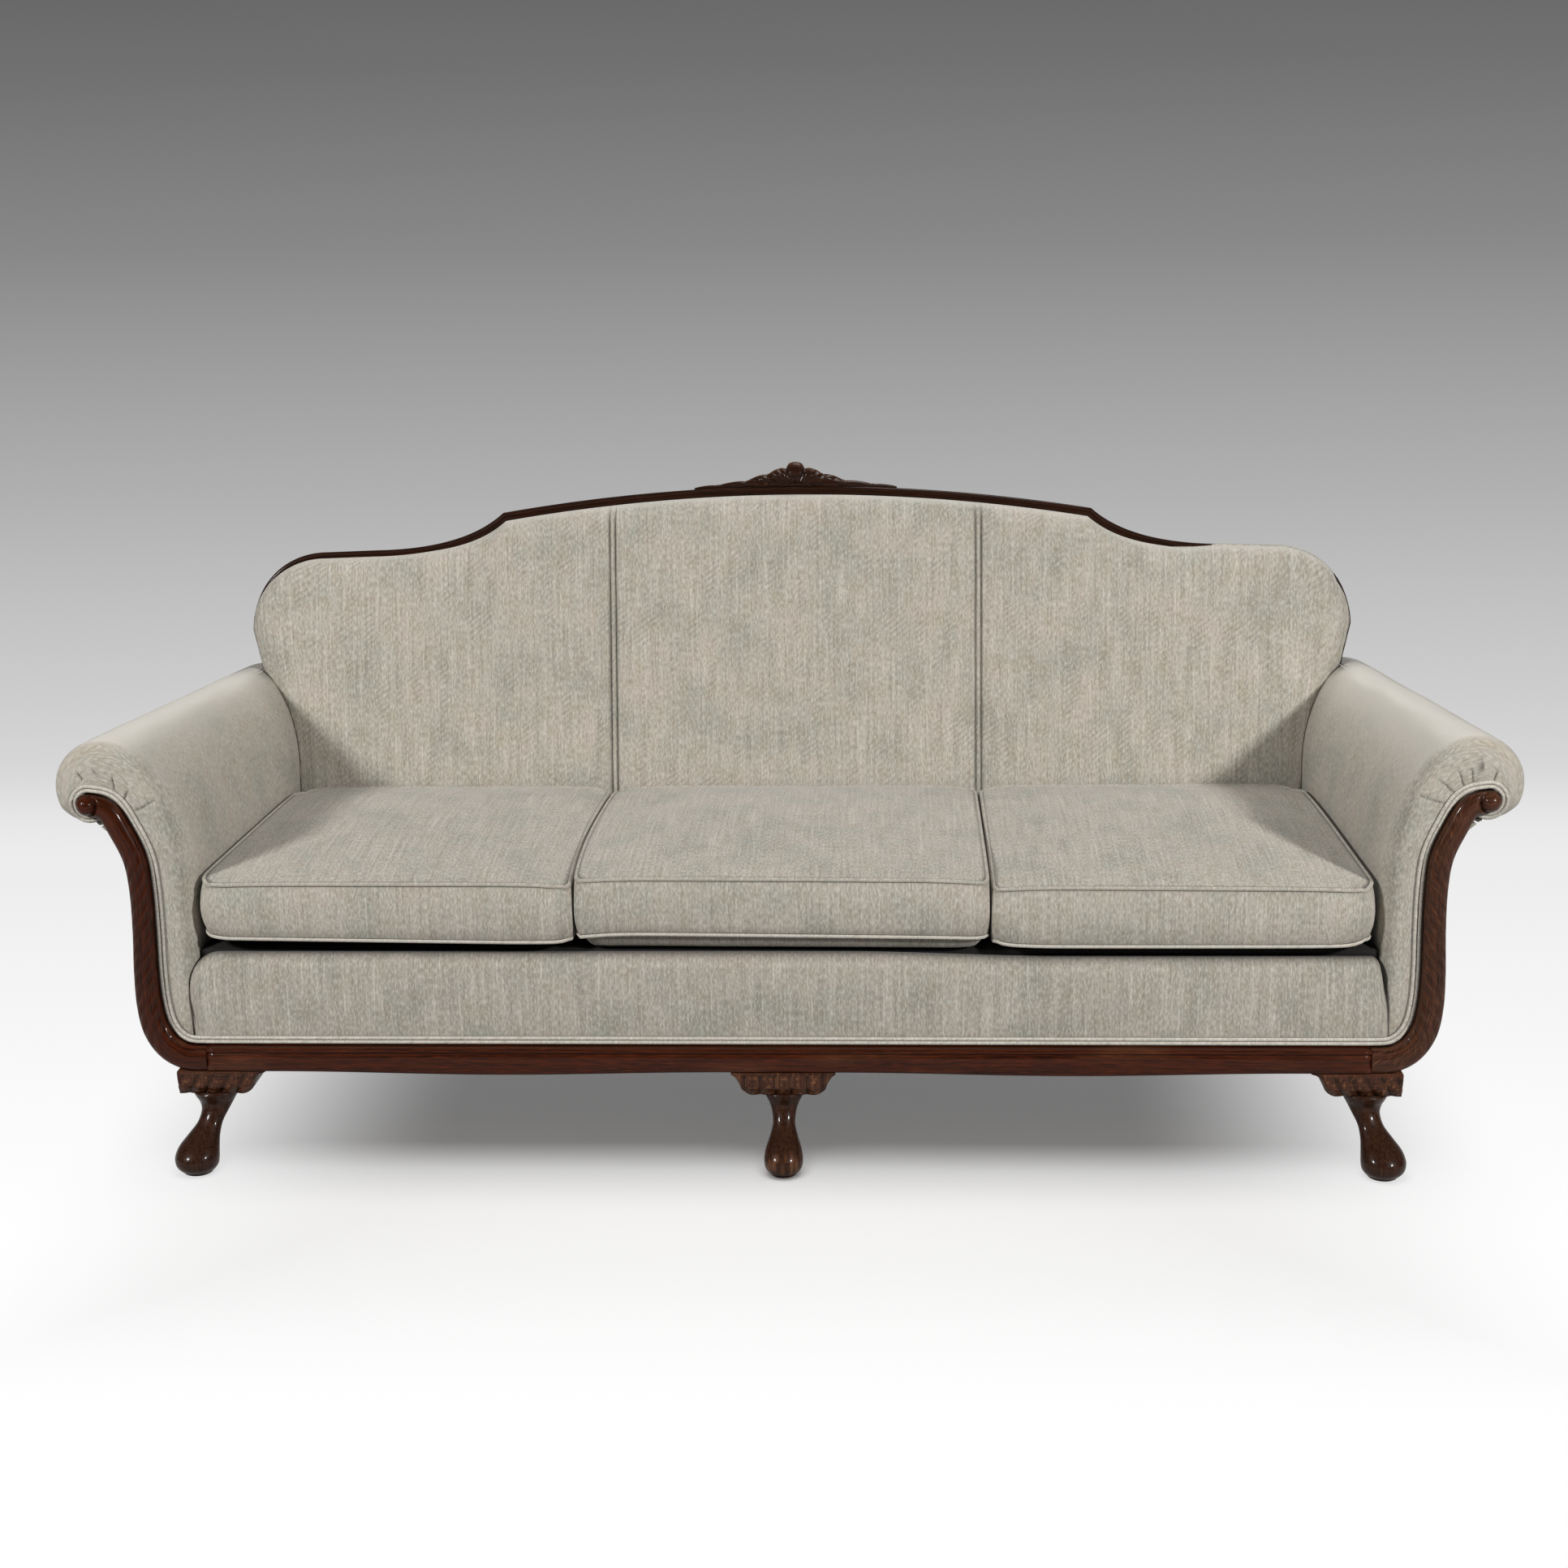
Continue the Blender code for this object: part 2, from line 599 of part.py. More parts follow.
def camel_line():
    # Right half of the top of the back, from the middle of the arch out and down to the arm, as (x, slope)
    drop = ARCH_TOP - STEP_Z
    radius = (STEP_X**2 + drop**2) / (2 * drop)
    line = []
    for k in range(8):
        x = STEP_X * k / 8
        line.append((x, ARCH_TOP - radius + math.sqrt(radius**2 - x**2)))
    for k in range(8):
        t = k / 7
        a = (STEP_X, STEP_Z)
        b = (STEP_X + 0.045, STEP_Z - 0.040)
        c = (SHOULDER_X - 0.100, SHOULDER_Z + 0.001)
        d = (SHOULDER_X, SHOULDER_Z)
        weights = ((1 - t) ** 3, 3 * t * (1 - t) ** 2, 3 * t * t * (1 - t), t**3)
        line.append(tuple(sum(w * p[i] for w, p in zip(weights, (a, b, c, d))) for i in (0, 1)))
    for k in range(8):
        angle = math.pi / 2 * k / 7
        x = CORNER_X + (BACK_HALF - CORNER_X) * math.sin(angle)
        line.append((x, SIDE_Z + (CORNER_Z - SIDE_Z) * math.cos(angle)))
    line.append((BACK_HALF - SIDE_TAPER, SIDE_FOOT))
    return [(x, up(z)) for x, z in line]


def both_sides(line):
    return [(-x, s) for x, s in reversed(line[1:])] + list(line)


def inset(line, distance):
    # The line moved towards the inside of the back, with mitred corners
    moved = []
    for i, (x, s) in enumerate(line):
        normals = []
        for a, b in ((i - 1, i), (i, i + 1)):
            if a < 0 or b >= len(line):
                continue
            dx = line[b][0] - line[a][0]
            ds = line[b][1] - line[a][1]
            long = math.hypot(dx, ds)
            normals.append((ds / long, -dx / long))
        first = normals[0]
        last = normals[-1]
        share = distance / (1 + first[0] * last[0] + first[1] * last[1])
        moved.append((x + (first[0] + last[0]) * share, s + (first[1] + last[1]) * share))
    return moved


camel = both_sides(camel_line())
under = inset(camel, MOULD_HIGH + GAP)

# Show-wood moulding along the top of the back: (depth inside the outline, place behind the frame face)
profile = [
    (0.004, -MOULD_FRONT),
    (0.0, -MOULD_FRONT + 0.005),
    (0.0, MOULD_BACK - 0.004),
    (0.003, MOULD_BACK),
    (MOULD_HIGH, MOULD_BACK),
    (MOULD_HIGH, -MOULD_FRONT + 0.003),
    (MOULD_HIGH - 0.004, -MOULD_FRONT),
]
lines = [inset(camel, deep) for deep, _ in profile]
sections = []
for i in range(len(camel)):
    sections.append([raked(*line[i], n) for line, (_, n) in zip(lines, profile)])
show_wood(loft("top_moulding", sections))

# Sawn top rail of the back frame, lower at its ends where it stands on the posts
outline = [(x, s) for x, s in under if s > up(POST_TOP) + 0.004]
edge = POST_OUT
outline = [(-edge, up(POST_TOP))] + outline + [(edge, up(POST_TOP))]
outline += [(POST_IN - 0.037, up(POST_TOP)), (POST_IN - 0.137, up(UPRIGHT_TOP))]
outline += [(0.137 - POST_IN, up(UPRIGHT_TOP)), (0.037 - POST_IN, up(POST_TOP))]
timber(loft("back_top_rail", [[raked(x, s, n) for x, s in outline] for n in (0.0, BACK_THICK)]))

# Covered outside of the back
low = up(SIDE_FOOT) - GAP
outline = under + [(OUTSIDE_HALF, low), (OUTSIDE_HALF, frame_foot), (-OUTSIDE_HALF, frame_foot), (-OUTSIDE_HALF, low)]
cover = (BACK_THICK + GAP, BACK_THICK + OUTSIDE_BACK)
fabric(loft("outside_back", [[raked(x, s, n) for x, s in outline] for n in cover]))


# Padded inside back with two sewn channels
def pad_top(x):
    line = [p for p in under if p[0] >= 0]
    for (x0, s0), (x1, s1) in zip(line, line[1:]):
        if x0 <= abs(x) <= x1:
            return mix(s0, s1, (abs(x) - x0) / (x1 - x0))
    return line[0][1]


def pad_section(x, top, end):
    low = up(PAD_FOOT)
    turn = min(0.034, (top - low) / 3)
    reach = abs(x)
    panel = reach / SEAM_X if reach < SEAM_X else (reach - (SEAM_X + end) / 2) / ((end - SEAM_X) / 2)
    crown = PAD_CROWN * (1 - min(abs(panel), 1.0) ** 2.5)
    seam = SEAM_DEEP * max(0.0, 1 - abs(reach - SEAM_X) / 0.010)
    rim = min((end - reach) / 0.055, 1.0)
    edge = 0.30 + 0.70 * math.sqrt(max(0.0, 1 - (1 - rim) ** 2))
    section = [(low, -GAP), (low, -(PAD_LOW_THICK - 0.010) * edge)]
    for k in range(1, 8):
        v = k / 7
        s = mix(low, top - turn, v)
        thick = mix(PAD_LOW_THICK, PAD_TOP_THICK, v) + crown * math.sin(math.pi * (0.15 + 0.60 * v)) - seam
        section.append((s, -thick * edge))
    full = -section[-1][1]
    for k in range(1, 4):
        angle = math.pi / 2 * k / 3
        front = mix(min(MOULD_FRONT, full * 0.6), full, math.cos(angle))
        section.append((top - turn + turn * math.sin(angle), -front))
    section.append((top, -GAP))
    # The outer edge closes in above the arm with the sides of the back
    share = math.copysign(SIDE_TAPER * max(0.0, 1 - (end - reach) / 0.105), x)
    placed = []
    for s, n in section:
        lower = (up(SIDE_Z) + 0.004 - s) / (up(SIDE_Z) - up(SIDE_FOOT))
        placed.append(raked(x - share * max(lower, 0.0 if top > up(SIDE_Z) + 0.004 else lower), s, n))
    return placed


half = [p for p in under if p[0] > 0.92 * STEP_X and p[1] >= up(SIDE_Z) - 0.001]
end = max(x for x, _ in half)
places = [(SEAM_X * k / 3, pad_top(SEAM_X * k / 3)) for k in range(3)]
for away in (-0.036, -0.013, -0.0055, 0.0, 0.0055, 0.013, 0.036, 0.099):
    places.append((SEAM_X + away, pad_top(SEAM_X + away)))
for x, s in half:
    if x - places[-1][0] > 0.002:
        places.append((x, s))
pad = fabric(loft("back_pad", [pad_section(x, s, end) for x, s in both_sides(places)]))


def tunnel(y):
    # Where an arm passes through the padding of the back
    inner = taper(SEAT_FRONT_HALF, SEAT_BACK_HALF, y) - 3 * GAP
    x = taper(ROLL_FRONT_X, ROLL_BACK_X, y)
    z = taper(ROLL_FRONT_Z, ROLL_BACK_Z, y)
    rise = taper(ARM_RISE_FRONT, ARM_RISE_BACK, y)
    top = z + ROLL_RADIUS + 3 * GAP
    loop = [(inner, 0.05), (inner, rise)]
    for k in range(1, 8):
        angle = math.pi / 2 * k / 7
        loop.append((x - (x - inner) * math.cos(angle), rise + (top - rise) * math.sin(angle)))
    return loop + [(x + 0.25, top), (x + 0.25, 0.05)]


for side, word in ((-1, "left"), (1, "right")):
    start = FRONT_Y + 0.68 * FRAME_DEPTH
    ends = [flat(tunnel(start), start, side)]
    for n in (roll_end - GAP, roll_end + 0.05):
        ends.append(leaning(tunnel, n, side))
    cut(pad, cutter(loft("arm_space_" + word, ends)))

# Carved crest on the middle of the moulding: a rounded middle lobe and scalloped leaves down each side
LOBES = ((0.0, 0.018), (0.031, 0.015), (0.063, 0.019), (0.105, 0.026), (0.148, 0.021))
SLOPE = ((0.0, 0.0325), (0.018, 0.0255), (0.046, 0.0165), (0.082, 0.0065), (0.130, 0.0025), (CREST_HALF, 0.0012))


def crest_height(x):
    x = abs(x)
    for (x0, h0), (x1, h1) in zip(SLOPE, SLOPE[1:]):
        if x <= x1:
            break
    level = mix(h0, h1, min((x - x0) / (x1 - x0), 1.0))
    for place, wide in LOBES:
        if abs(x - place) < wide:
            level += (CREST_HIGH - SLOPE[0][1]) * math.sqrt(1 - ((x - place) / wide) ** 2) * (1 - x / 0.28)
    return level


drop = ARCH_TOP - STEP_Z
arch_radius = (STEP_X**2 + drop**2) / (2 * drop)
sections = []
steps = 44
for k in range(steps + 1):
    x = mix(-CREST_HALF, CREST_HALF, k / steps)
    base = up(ARCH_TOP - arch_radius + math.sqrt(arch_radius**2 - x**2)) + GAP + 0.0001
    high = crest_height(x)
    deep = 0.006 + 0.010 * min(high / 0.025, 1.0)
    ring = [(base, -deep), (base + high * 0.6, -deep), (base + high, -deep * 0.35), (base + high, 0.010)]
    ring += [(base + high * 0.5, 0.018), (base, 0.018)]
    sections.append([raked(x, s, n) for s, n in ring])
show_wood(loft("crest_carving", sections))

# Loose seat cushions, each lifting off straight up from its own origin
SPREAD = {0.0: 0.0, 0.5: 0.62, 1.0: 1.0}
EDGE = {0.0: 0.0, 0.5: 0.88, 1.0: 1.0}


def spread(value, table):
    return math.copysign(table[round(abs(value), 1)], value)


def cushion(name, x_left, x_right, arm_side):
    bm = bmesh.new()
    bmesh.ops.create_cube(bm, size=2.0)
    bmesh.ops.subdivide_edges(bm, edges=bm.edges[:], cuts=3, use_grid_fill=True)
    front = FRONT_Y - CUSHION_FRONT
    seat = Vector(((x_left + x_right) / 2, front + CUSHION_DEPTH / 2, CUSHION_LOW))
    for vert in bm.verts:
        u = spread(vert.co.x, EDGE)
        v = spread(vert.co.y, EDGE)
        w = spread(vert.co.z, SPREAD)
        y = front + CUSHION_DEPTH * (v + 1) / 2
        left = x_left
        right = x_right
        shift = SEAT_FRONT_HALF - taper(SEAT_FRONT_HALF, SEAT_BACK_HALF, max(y, FRONT_Y))
        if arm_side < 0:
            left += shift
        if arm_side > 0:
            right -= shift
        dome = (1 - u * u) * (1 - v * v)
        middle = (CUSHION_LOW + CUSHION_HIGH) / 2
        z = middle + (CUSHION_HIGH - CUSHION_LOW) / 2 * w
        z += dome * (CUSHION_CROWN if w > 0 else CUSHION_SAG) * w
        corner = (u * u) * (v * v)
        z -= 0.008 * corner * max(w, 0.0)
        # The boxing swells a little between the piped edges and is drawn in at them
        swell = 0.006 * (1 - w * w) - 0.004
        x = mix(left, right, (u + 1) / 2)
        if abs(u) == 1.0:
            x += u * (swell - 0.003)
        if abs(v) == 1.0:
            y += v * swell
        vert.co = Vector((x, y, z)) - seat
    bmesh.ops.recalc_face_normals(bm, faces=bm.faces[:])
    mesh = bpy.data.meshes.new(name)
    bm.to_mesh(mesh)
    bm.free()
    obj = fabric(bpy.data.objects.new(name, mesh))
    obj.location = seat
    smooth = obj.modifiers.new("rounding", "SUBSURF")
    smooth.levels = 1
    smooth.render_levels = 1
    return obj


arm_edge = SEAT_FRONT_HALF - CUSHION_SIDE
cushion("seat_cushion_left", -arm_edge, -CUSHION_SPLIT - CUSHION_GAP, -1)
cushion("seat_cushion_middle", -CUSHION_SPLIT + CUSHION_GAP, CUSHION_SPLIT - CUSHION_GAP, 0)
cushion("seat_cushion_right", CUSHION_SPLIT + CUSHION_GAP, arm_edge, 1)

# Carved leg blocks: flat outlines with ogee wings, squared off at the outer ends of the sofa
wing = []
for k in range(7):
    angle = math.pi / 2 * k / 6
    wing.append((0.044 + 0.019 * math.sin(angle), LEG_BLOCK_LOW + 0.016 * (1 - math.cos(angle))))
wing += [(0.0705, LEG_BLOCK_TOP - 0.008), (0.0755, LEG_BLOCK_TOP)]
square = [(0.048, LEG_BLOCK_LOW), (0.048, LEG_BLOCK_TOP)]
leg_low = LEG_BLOCK_LOW - GAP


def leg_stations():
    # (height, shift outward, shift forward, radius) down the leg
    return (
        (leg_low, 0.0, 0.000, 0.034),
        (leg_low * 0.93, 0.0, 0.002, 0.029),
        (leg_low * 0.84, 0.0, 0.006, 0.0215),
        (leg_low * 0.74, 0.05, 0.16, NECK_RADIUS),
        (leg_low * 0.60, 0.30, 0.40, NECK_RADIUS),
        (leg_low * 0.46, 0.62, 0.66, 0.0215),
        (leg_low * 0.35, 0.85, 0.86, 0.0275),
        (leg_low * 0.26, 0.97, 0.97, FOOT_RADIUS * 0.985),
        (leg_low * 0.19, 1.0, 1.0, FOOT_RADIUS),
        (leg_low * 0.11, 1.0, 1.0, FOOT_RADIUS * 0.95),
        (leg_low * 0.04, 0.99, 0.99, FOOT_RADIUS * 0.78),
        (0.0, 0.98, 0.98, FOOT_RADIUS * 0.62),
    )


for side, word in ((-1, "left"), (0, "middle"), (1, "right")):
    centre = side * LEG_X
    inward = [(centre - (side or 1) * x, z) for x, z in wing]
    outward = [(centre + (side or 1) * x, z) for x, z in (square if side else wing)]
    block_front = FRONT_Y - LEG_BLOCK_FRONT
    outline = outward + inward[::-1]
    show_wood(plate("leg_block_" + word, outline, block_front, block_front + LEG_BLOCK_DEPTH, "xz"))
    rings = []
    for z, out, forward, radius in leg_stations():
        radius *= 1.0 if side else MIDDLE_FOOT
        x = centre + side * FOOT_OUT * out
        y = FRONT_Y - FOOT_FORWARD * forward + 0.010 * (1 - forward)
        ring = []
        for k in range(14):
            angle = 2 * math.pi * k / 14
            ring.append((x + radius * math.cos(angle), y + radius * math.sin(angle), z))
        rings.append(ring)
    show_wood(loft("front_leg_" + word, rings))
    # Plain raked rear leg
    x = side * REAR_LEG_X
    y = back_y(FRAME_BOTTOM) + REAR_LEG_TOP / 2 + 0.004
    ends = []
    for z, wide, kick in ((FRAME_BOTTOM - 2 * GAP, REAR_LEG_TOP, 0.0), (0.0, REAR_LEG_FOOT, REAR_LEG_KICK)):
        loop = []
        for a, b in ((-1, -1), (1, -1), (1, 1), (-1, 1)):
            loop.append((x + a * wide / 2, y + kick + b * wide / 2, z))
        ends.append(loop)
    show_wood(loft("rear_leg_" + word, ends))

# S-scroll facings: (outward from the inner face of the arm, height, half width) from the eye down to the apron
S_CURVE = (
    (0.108, 0.540, 0.0150),
    (0.089, 0.507, 0.0152),
    (0.073, 0.467, 0.0150),
    (0.068, 0.420, 0.0145),
    (0.068, 0.360, 0.0148),
    (0.070, 0.300, 0.0160),
    (0.069, 0.250, 0.0175),
    (0.062, 0.211, 0.0186),
    (0.045, 0.184, 0.0196),
    (0.020, 0.1705, 0.0204),
)
knots = [(EYE_X, EYE_Z, EYE_RADIUS)]
knots += [(SEAT_FRONT_HALF + out, z, half_width) for out, z, half_width in S_CURVE]
knots.append((APRON_HALF + GAP, (APRON_TOP + APRON_BOTTOM) / 2, (APRON_TOP - APRON_BOTTOM) / 2))
scroll = smooth_path(knots, 5)


def across(path, i):
    # Unit tangent and inward normal of the facing at a point
    a = path[max(i - 1, 0)]
    b = path[min(i + 1, len(path) - 1)]
    dx = b[0] - a[0]
    dz = b[1] - a[1]
    long = math.hypot(dx, dz)
    return (dx / long, dz / long), (dz / long, -dx / long)


def facing_sections(side):
    sections = []
    (tx, tz), (nx, nz) = across(scroll, 0)
    stations = []
    for back in (0.0146, 0.0128, 0.0085, 0.0040):
        half_width = math.sqrt(EYE_RADIUS**2 - back**2)
        stations.append((EYE_X - tx * back, EYE_Z - tz * back, half_width, (nx, nz)))
    for i, (x, z, half_width) in enumerate(scroll):
        normal = (-1.0, 0.0) if i < 0 else across(scroll, i)[1]
        if i == len(scroll) - 1:
            normal = (0.0, 1.0)
        stations.append((x, z, half_width, normal))
    run = 0.0
    for i, (x, z, half_width, (ax, az)) in enumerate(stations):
        if i:
            run += math.hypot(x - stations[i - 1][0], z - stations[i - 1][1])
        carve = min(max((run - 0.060) / 0.03, 0.0), 1.0) * min(max((0.42 - run) / 0.03, 0.0), 1.0)
        ring = []
        for u in (-1.0, -1.0, -0.72, -0.36, 0.0, 0.36, 0.72, 1.0, 1.0):
            px = x + ax * half_width * u
            pz = z + az * half_width * u
            deep = FACING_FRONT * (0.58 + 0.42 * math.sqrt(max(0.0, 1 - (u * 0.97) ** 2)))
            # Leaf flutes cross the band on a slant
            deep -= FLUTE_DEEP * carve * abs(math.sin(math.pi * (run / FLUTE_PITCH + 0.55 * u)))
            boss = 1 - (math.hypot(px - EYE_X, pz - EYE_Z) / 0.0115) ** 2
            deep += 0.005 * max(0.0, boss)
            if abs(u) == 1.0 and len(ring) in (0, 8):
                deep = GAP
            ring.append((side * px, FRONT_Y - deep, pz))
        sections.append(ring)
    return sections


for side, word in ((-1, "left"), (1, "right")):
    show_wood(loft("arm_facing_" + word, facing_sections(side)))

# Double welt: round each eye, down the inside of each facing and along the foot of the border
reach = 2 * WELT_CORD + 0.0014
line = []
eye_steps = 9
eye_normal = across(scroll, 0)[1]
for k in range(eye_steps):
    angle = mix(math.radians(-20), math.atan2(eye_normal[1], eye_normal[0]), k / (eye_steps - 1))
    line.append((EYE_X + (EYE_RADIUS + reach) * math.cos(angle), EYE_Z + (EYE_RADIUS + reach) * math.sin(angle)))
for i, (x, z, half_width) in enumerate(scroll):
    if i < 2 or (20 < i < 36 and i % 3) or (i % 2 and i < len(scroll) - 1):
        continue
    nx, nz = across(scroll, i)[1] if i < len(scroll) - 1 else (0.0, 1.0)
    line.append((x + nx * (half_width + reach), z + nz * (half_width + reach)))
line = line + [(-x, z) for x, z in reversed(line)]
cord = bpy.data.curves.new("double_cord", "CURVE")
cord.dimensions = "2D"
spline = cord.splines.new("POLY")
outline = []
for middle, start in ((WELT_CORD, -120), (-WELT_CORD, 60)):
    for k in range(5):
        angle = math.radians(start + 60 * k)
        outline.append((middle + WELT_CORD * math.cos(angle), WELT_CORD * math.sin(angle)))
spline.points.add(len(outline) - 1)
for point, (a, b) in zip(spline.points, reversed(outline)):
    point.co = (a, b, 0.0, 1.0)
spline.use_cyclic_u = True
cord_guide = cutter(bpy.data.objects.new("double_cord", cord))
welt = bpy.data.curves.new("front_double_welt", "CURVE")
welt.dimensions = "2D"
welt.fill_mode = "NONE"
welt.bevel_mode = "OBJECT"
welt.bevel_object = cord_guide
welt.use_fill_caps = True
spline = welt.splines.new("POLY")
spline.points.add(len(line) - 1)
for point, (a, b) in zip(spline.points, line):
    point.co = (a, b, 0.0, 1.0)
welt_object = fabric(bpy.data.objects.new("front_double_welt", welt))
stand = Matrix.Translation((0, FRONT_Y - WELT_CORD - GAP, 0))
welt_object.matrix_world = stand @ Matrix.Rotation(math.pi / 2, 4, "X")
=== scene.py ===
import math

import bmesh
import bpy
from mathutils import Matrix, Vector, noise
from mathutils.kdtree import KDTree


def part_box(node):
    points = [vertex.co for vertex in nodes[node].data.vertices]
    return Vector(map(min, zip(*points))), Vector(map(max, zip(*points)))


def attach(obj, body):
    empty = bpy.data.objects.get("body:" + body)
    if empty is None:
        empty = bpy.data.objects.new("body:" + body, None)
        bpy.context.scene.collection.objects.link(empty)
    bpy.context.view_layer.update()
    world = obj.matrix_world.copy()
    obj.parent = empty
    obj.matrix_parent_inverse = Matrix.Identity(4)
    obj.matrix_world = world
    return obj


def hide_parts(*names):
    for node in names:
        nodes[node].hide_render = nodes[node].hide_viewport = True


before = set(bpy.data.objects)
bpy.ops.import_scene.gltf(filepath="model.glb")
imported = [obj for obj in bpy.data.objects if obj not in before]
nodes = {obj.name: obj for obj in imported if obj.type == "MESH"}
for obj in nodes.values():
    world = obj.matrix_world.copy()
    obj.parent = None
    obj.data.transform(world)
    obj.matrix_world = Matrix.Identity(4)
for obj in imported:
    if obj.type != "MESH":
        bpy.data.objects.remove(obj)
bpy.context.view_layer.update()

scene = bpy.context.scene
scene.view_settings.view_transform = "Standard"
print("frame loaded:", len(nodes), "nodes")

# Main lines of the sofa, in metres: +X to the viewer's right, the front faces -Y
sofa = {
    "frontY": -0.3368, "depth": 0.6136, "seatFront": 0.852, "seatBack": 0.828, "railTop": 0.300,
    "frameLow": 0.1476, "rake": math.radians(8.14), "backThick": 0.040, "gap": 0.0003,
}
frontY = sofa["frontY"]
upY = frontY + sofa["depth"]
rake = sofa["rake"]
rearFace = sofa["backThick"] - sofa["gap"]
sides = ((-1, "left"), (1, "right"))


def mixed(a, b, t):
    return a + (b - a) * t


def eased(low, high, value):
    t = min(max((value - low) / (high - low), 0.0), 1.0)
    return t * t * (3 - 2 * t)


def bell(value, middle, wide):
    return math.exp(-((value - middle) / wide) ** 2)


def taper(front, back, y):
    return mixed(front, back, (y - frontY) / sofa["depth"])


def seatHalf(y):
    return taper(sofa["seatFront"], sofa["seatBack"], y)


def backY(z):
    return upY + (z - sofa["railTop"]) * math.tan(rake)


def raked(x, s, n):  # s up the slope of the back from the rail top, n behind the face of its frame
    y = upY + s * math.sin(rake) + n * math.cos(rake)
    return (x, y, sofa["railTop"] + s * math.cos(rake) - n * math.sin(rake))


def upSlope(z):
    return (z - sofa["railTop"]) / math.cos(rake)


def smoothPath(points, steps):  # a curve through the points
    path = []
    for i in range(len(points) - 1):
        p = [points[min(max(i + k, 0), len(points) - 1)] for k in (-1, 0, 1, 2)]
        for k in range(steps):
            t = k / steps
            weights = ((-t + 2 * t * t - t**3) / 2, (2 - 5 * t * t + 3 * t**3) / 2,
                       (t + 4 * t * t - 3 * t**3) / 2, (-t * t + t**3) / 2)
            path.append(tuple(sum(w * q[c] for w, q in zip(weights, p)) for c in range(len(p[0]))))
    path.append(tuple(points[-1]))
    return path


def hexLinear(code):  # sRGB hex to linear
    parts = [int(code[i:i + 2], 16) / 255 for i in (0, 2, 4)]
    return tuple(c / 12.92 if c <= 0.04045 else ((c + 0.055) / 1.055) ** 2.4 for c in parts) + (1.0,)


def addNode(tree, kind, inputs=None, **settings):
    node = tree.nodes.new("ShaderNode" + kind)
    for key, value in settings.items():
        setattr(node, key, value)
    for key, value in (inputs or {}).items():
        if isinstance(value, bpy.types.NodeSocket):
            tree.links.new(value, node.inputs[key])
        else:
            node.inputs[key].default_value = value
    return node


def newMaterial(name):
    material = bpy.data.materials.new(name)
    material.use_nodes = True
    return material, material.node_tree, material.node_tree.nodes["Principled BSDF"]


def washed(tree, layers, tone, washes):  # colours laid over a tone, each as strong as its layer is in a range
    for key, low, high, start, end, colour in washes:
        share = addNode(tree, "MapRange", {"Value": layers[key], "From Min": low, "From Max": high,
                                           "To Min": start, "To Max": end}).outputs["Result"]
        tone = addNode(tree, "Mix", {0: share, 6: tone, 7: hexLinear(colour)}, data_type="RGBA").outputs[2]
    return tone


waveUnit = 0.314  # one band of the wave texture at scale 1, in metres

# Cotton and viscose strie weave: soft heathered blotches, long thin streaks up the cloth, fine slubs, and
# faint short ticks that rise to the right. Where the attribute shade is over 0 it mixes in the near-black
# seam colour as painted shade: beside seams and piping, on the sides of the welt cords, in pleats and tucks,
# under the cushions, over the border's top and low on the inside of the arms. Where it is under 0 it mixes in
# the slub colour as a painted highlight on the roll of the back pad and on the arm tops, there partly rub
# wear
cloth = {
    "greenGrey": "a6a599", "pinkBeige": "b3a99e", "sand": "a39a88", "slub": "d8d3c8", "shadow": "767066",
    "seam": "1e1914", "blotch": (0.080, 0.095), "sandy": (0.026, 0.036), "strie": (0.0046, 0.140),
    "thread": (0.0027, 0.0080), "tick": 0.0078, "tickTurn": -36.0, "tickPatch": (1 / 38, 1 / 11),
    "streakShare": 0.52, "threadShare": 0.62, "tickShare": 0.30, "tickDeep": 0.36,
}


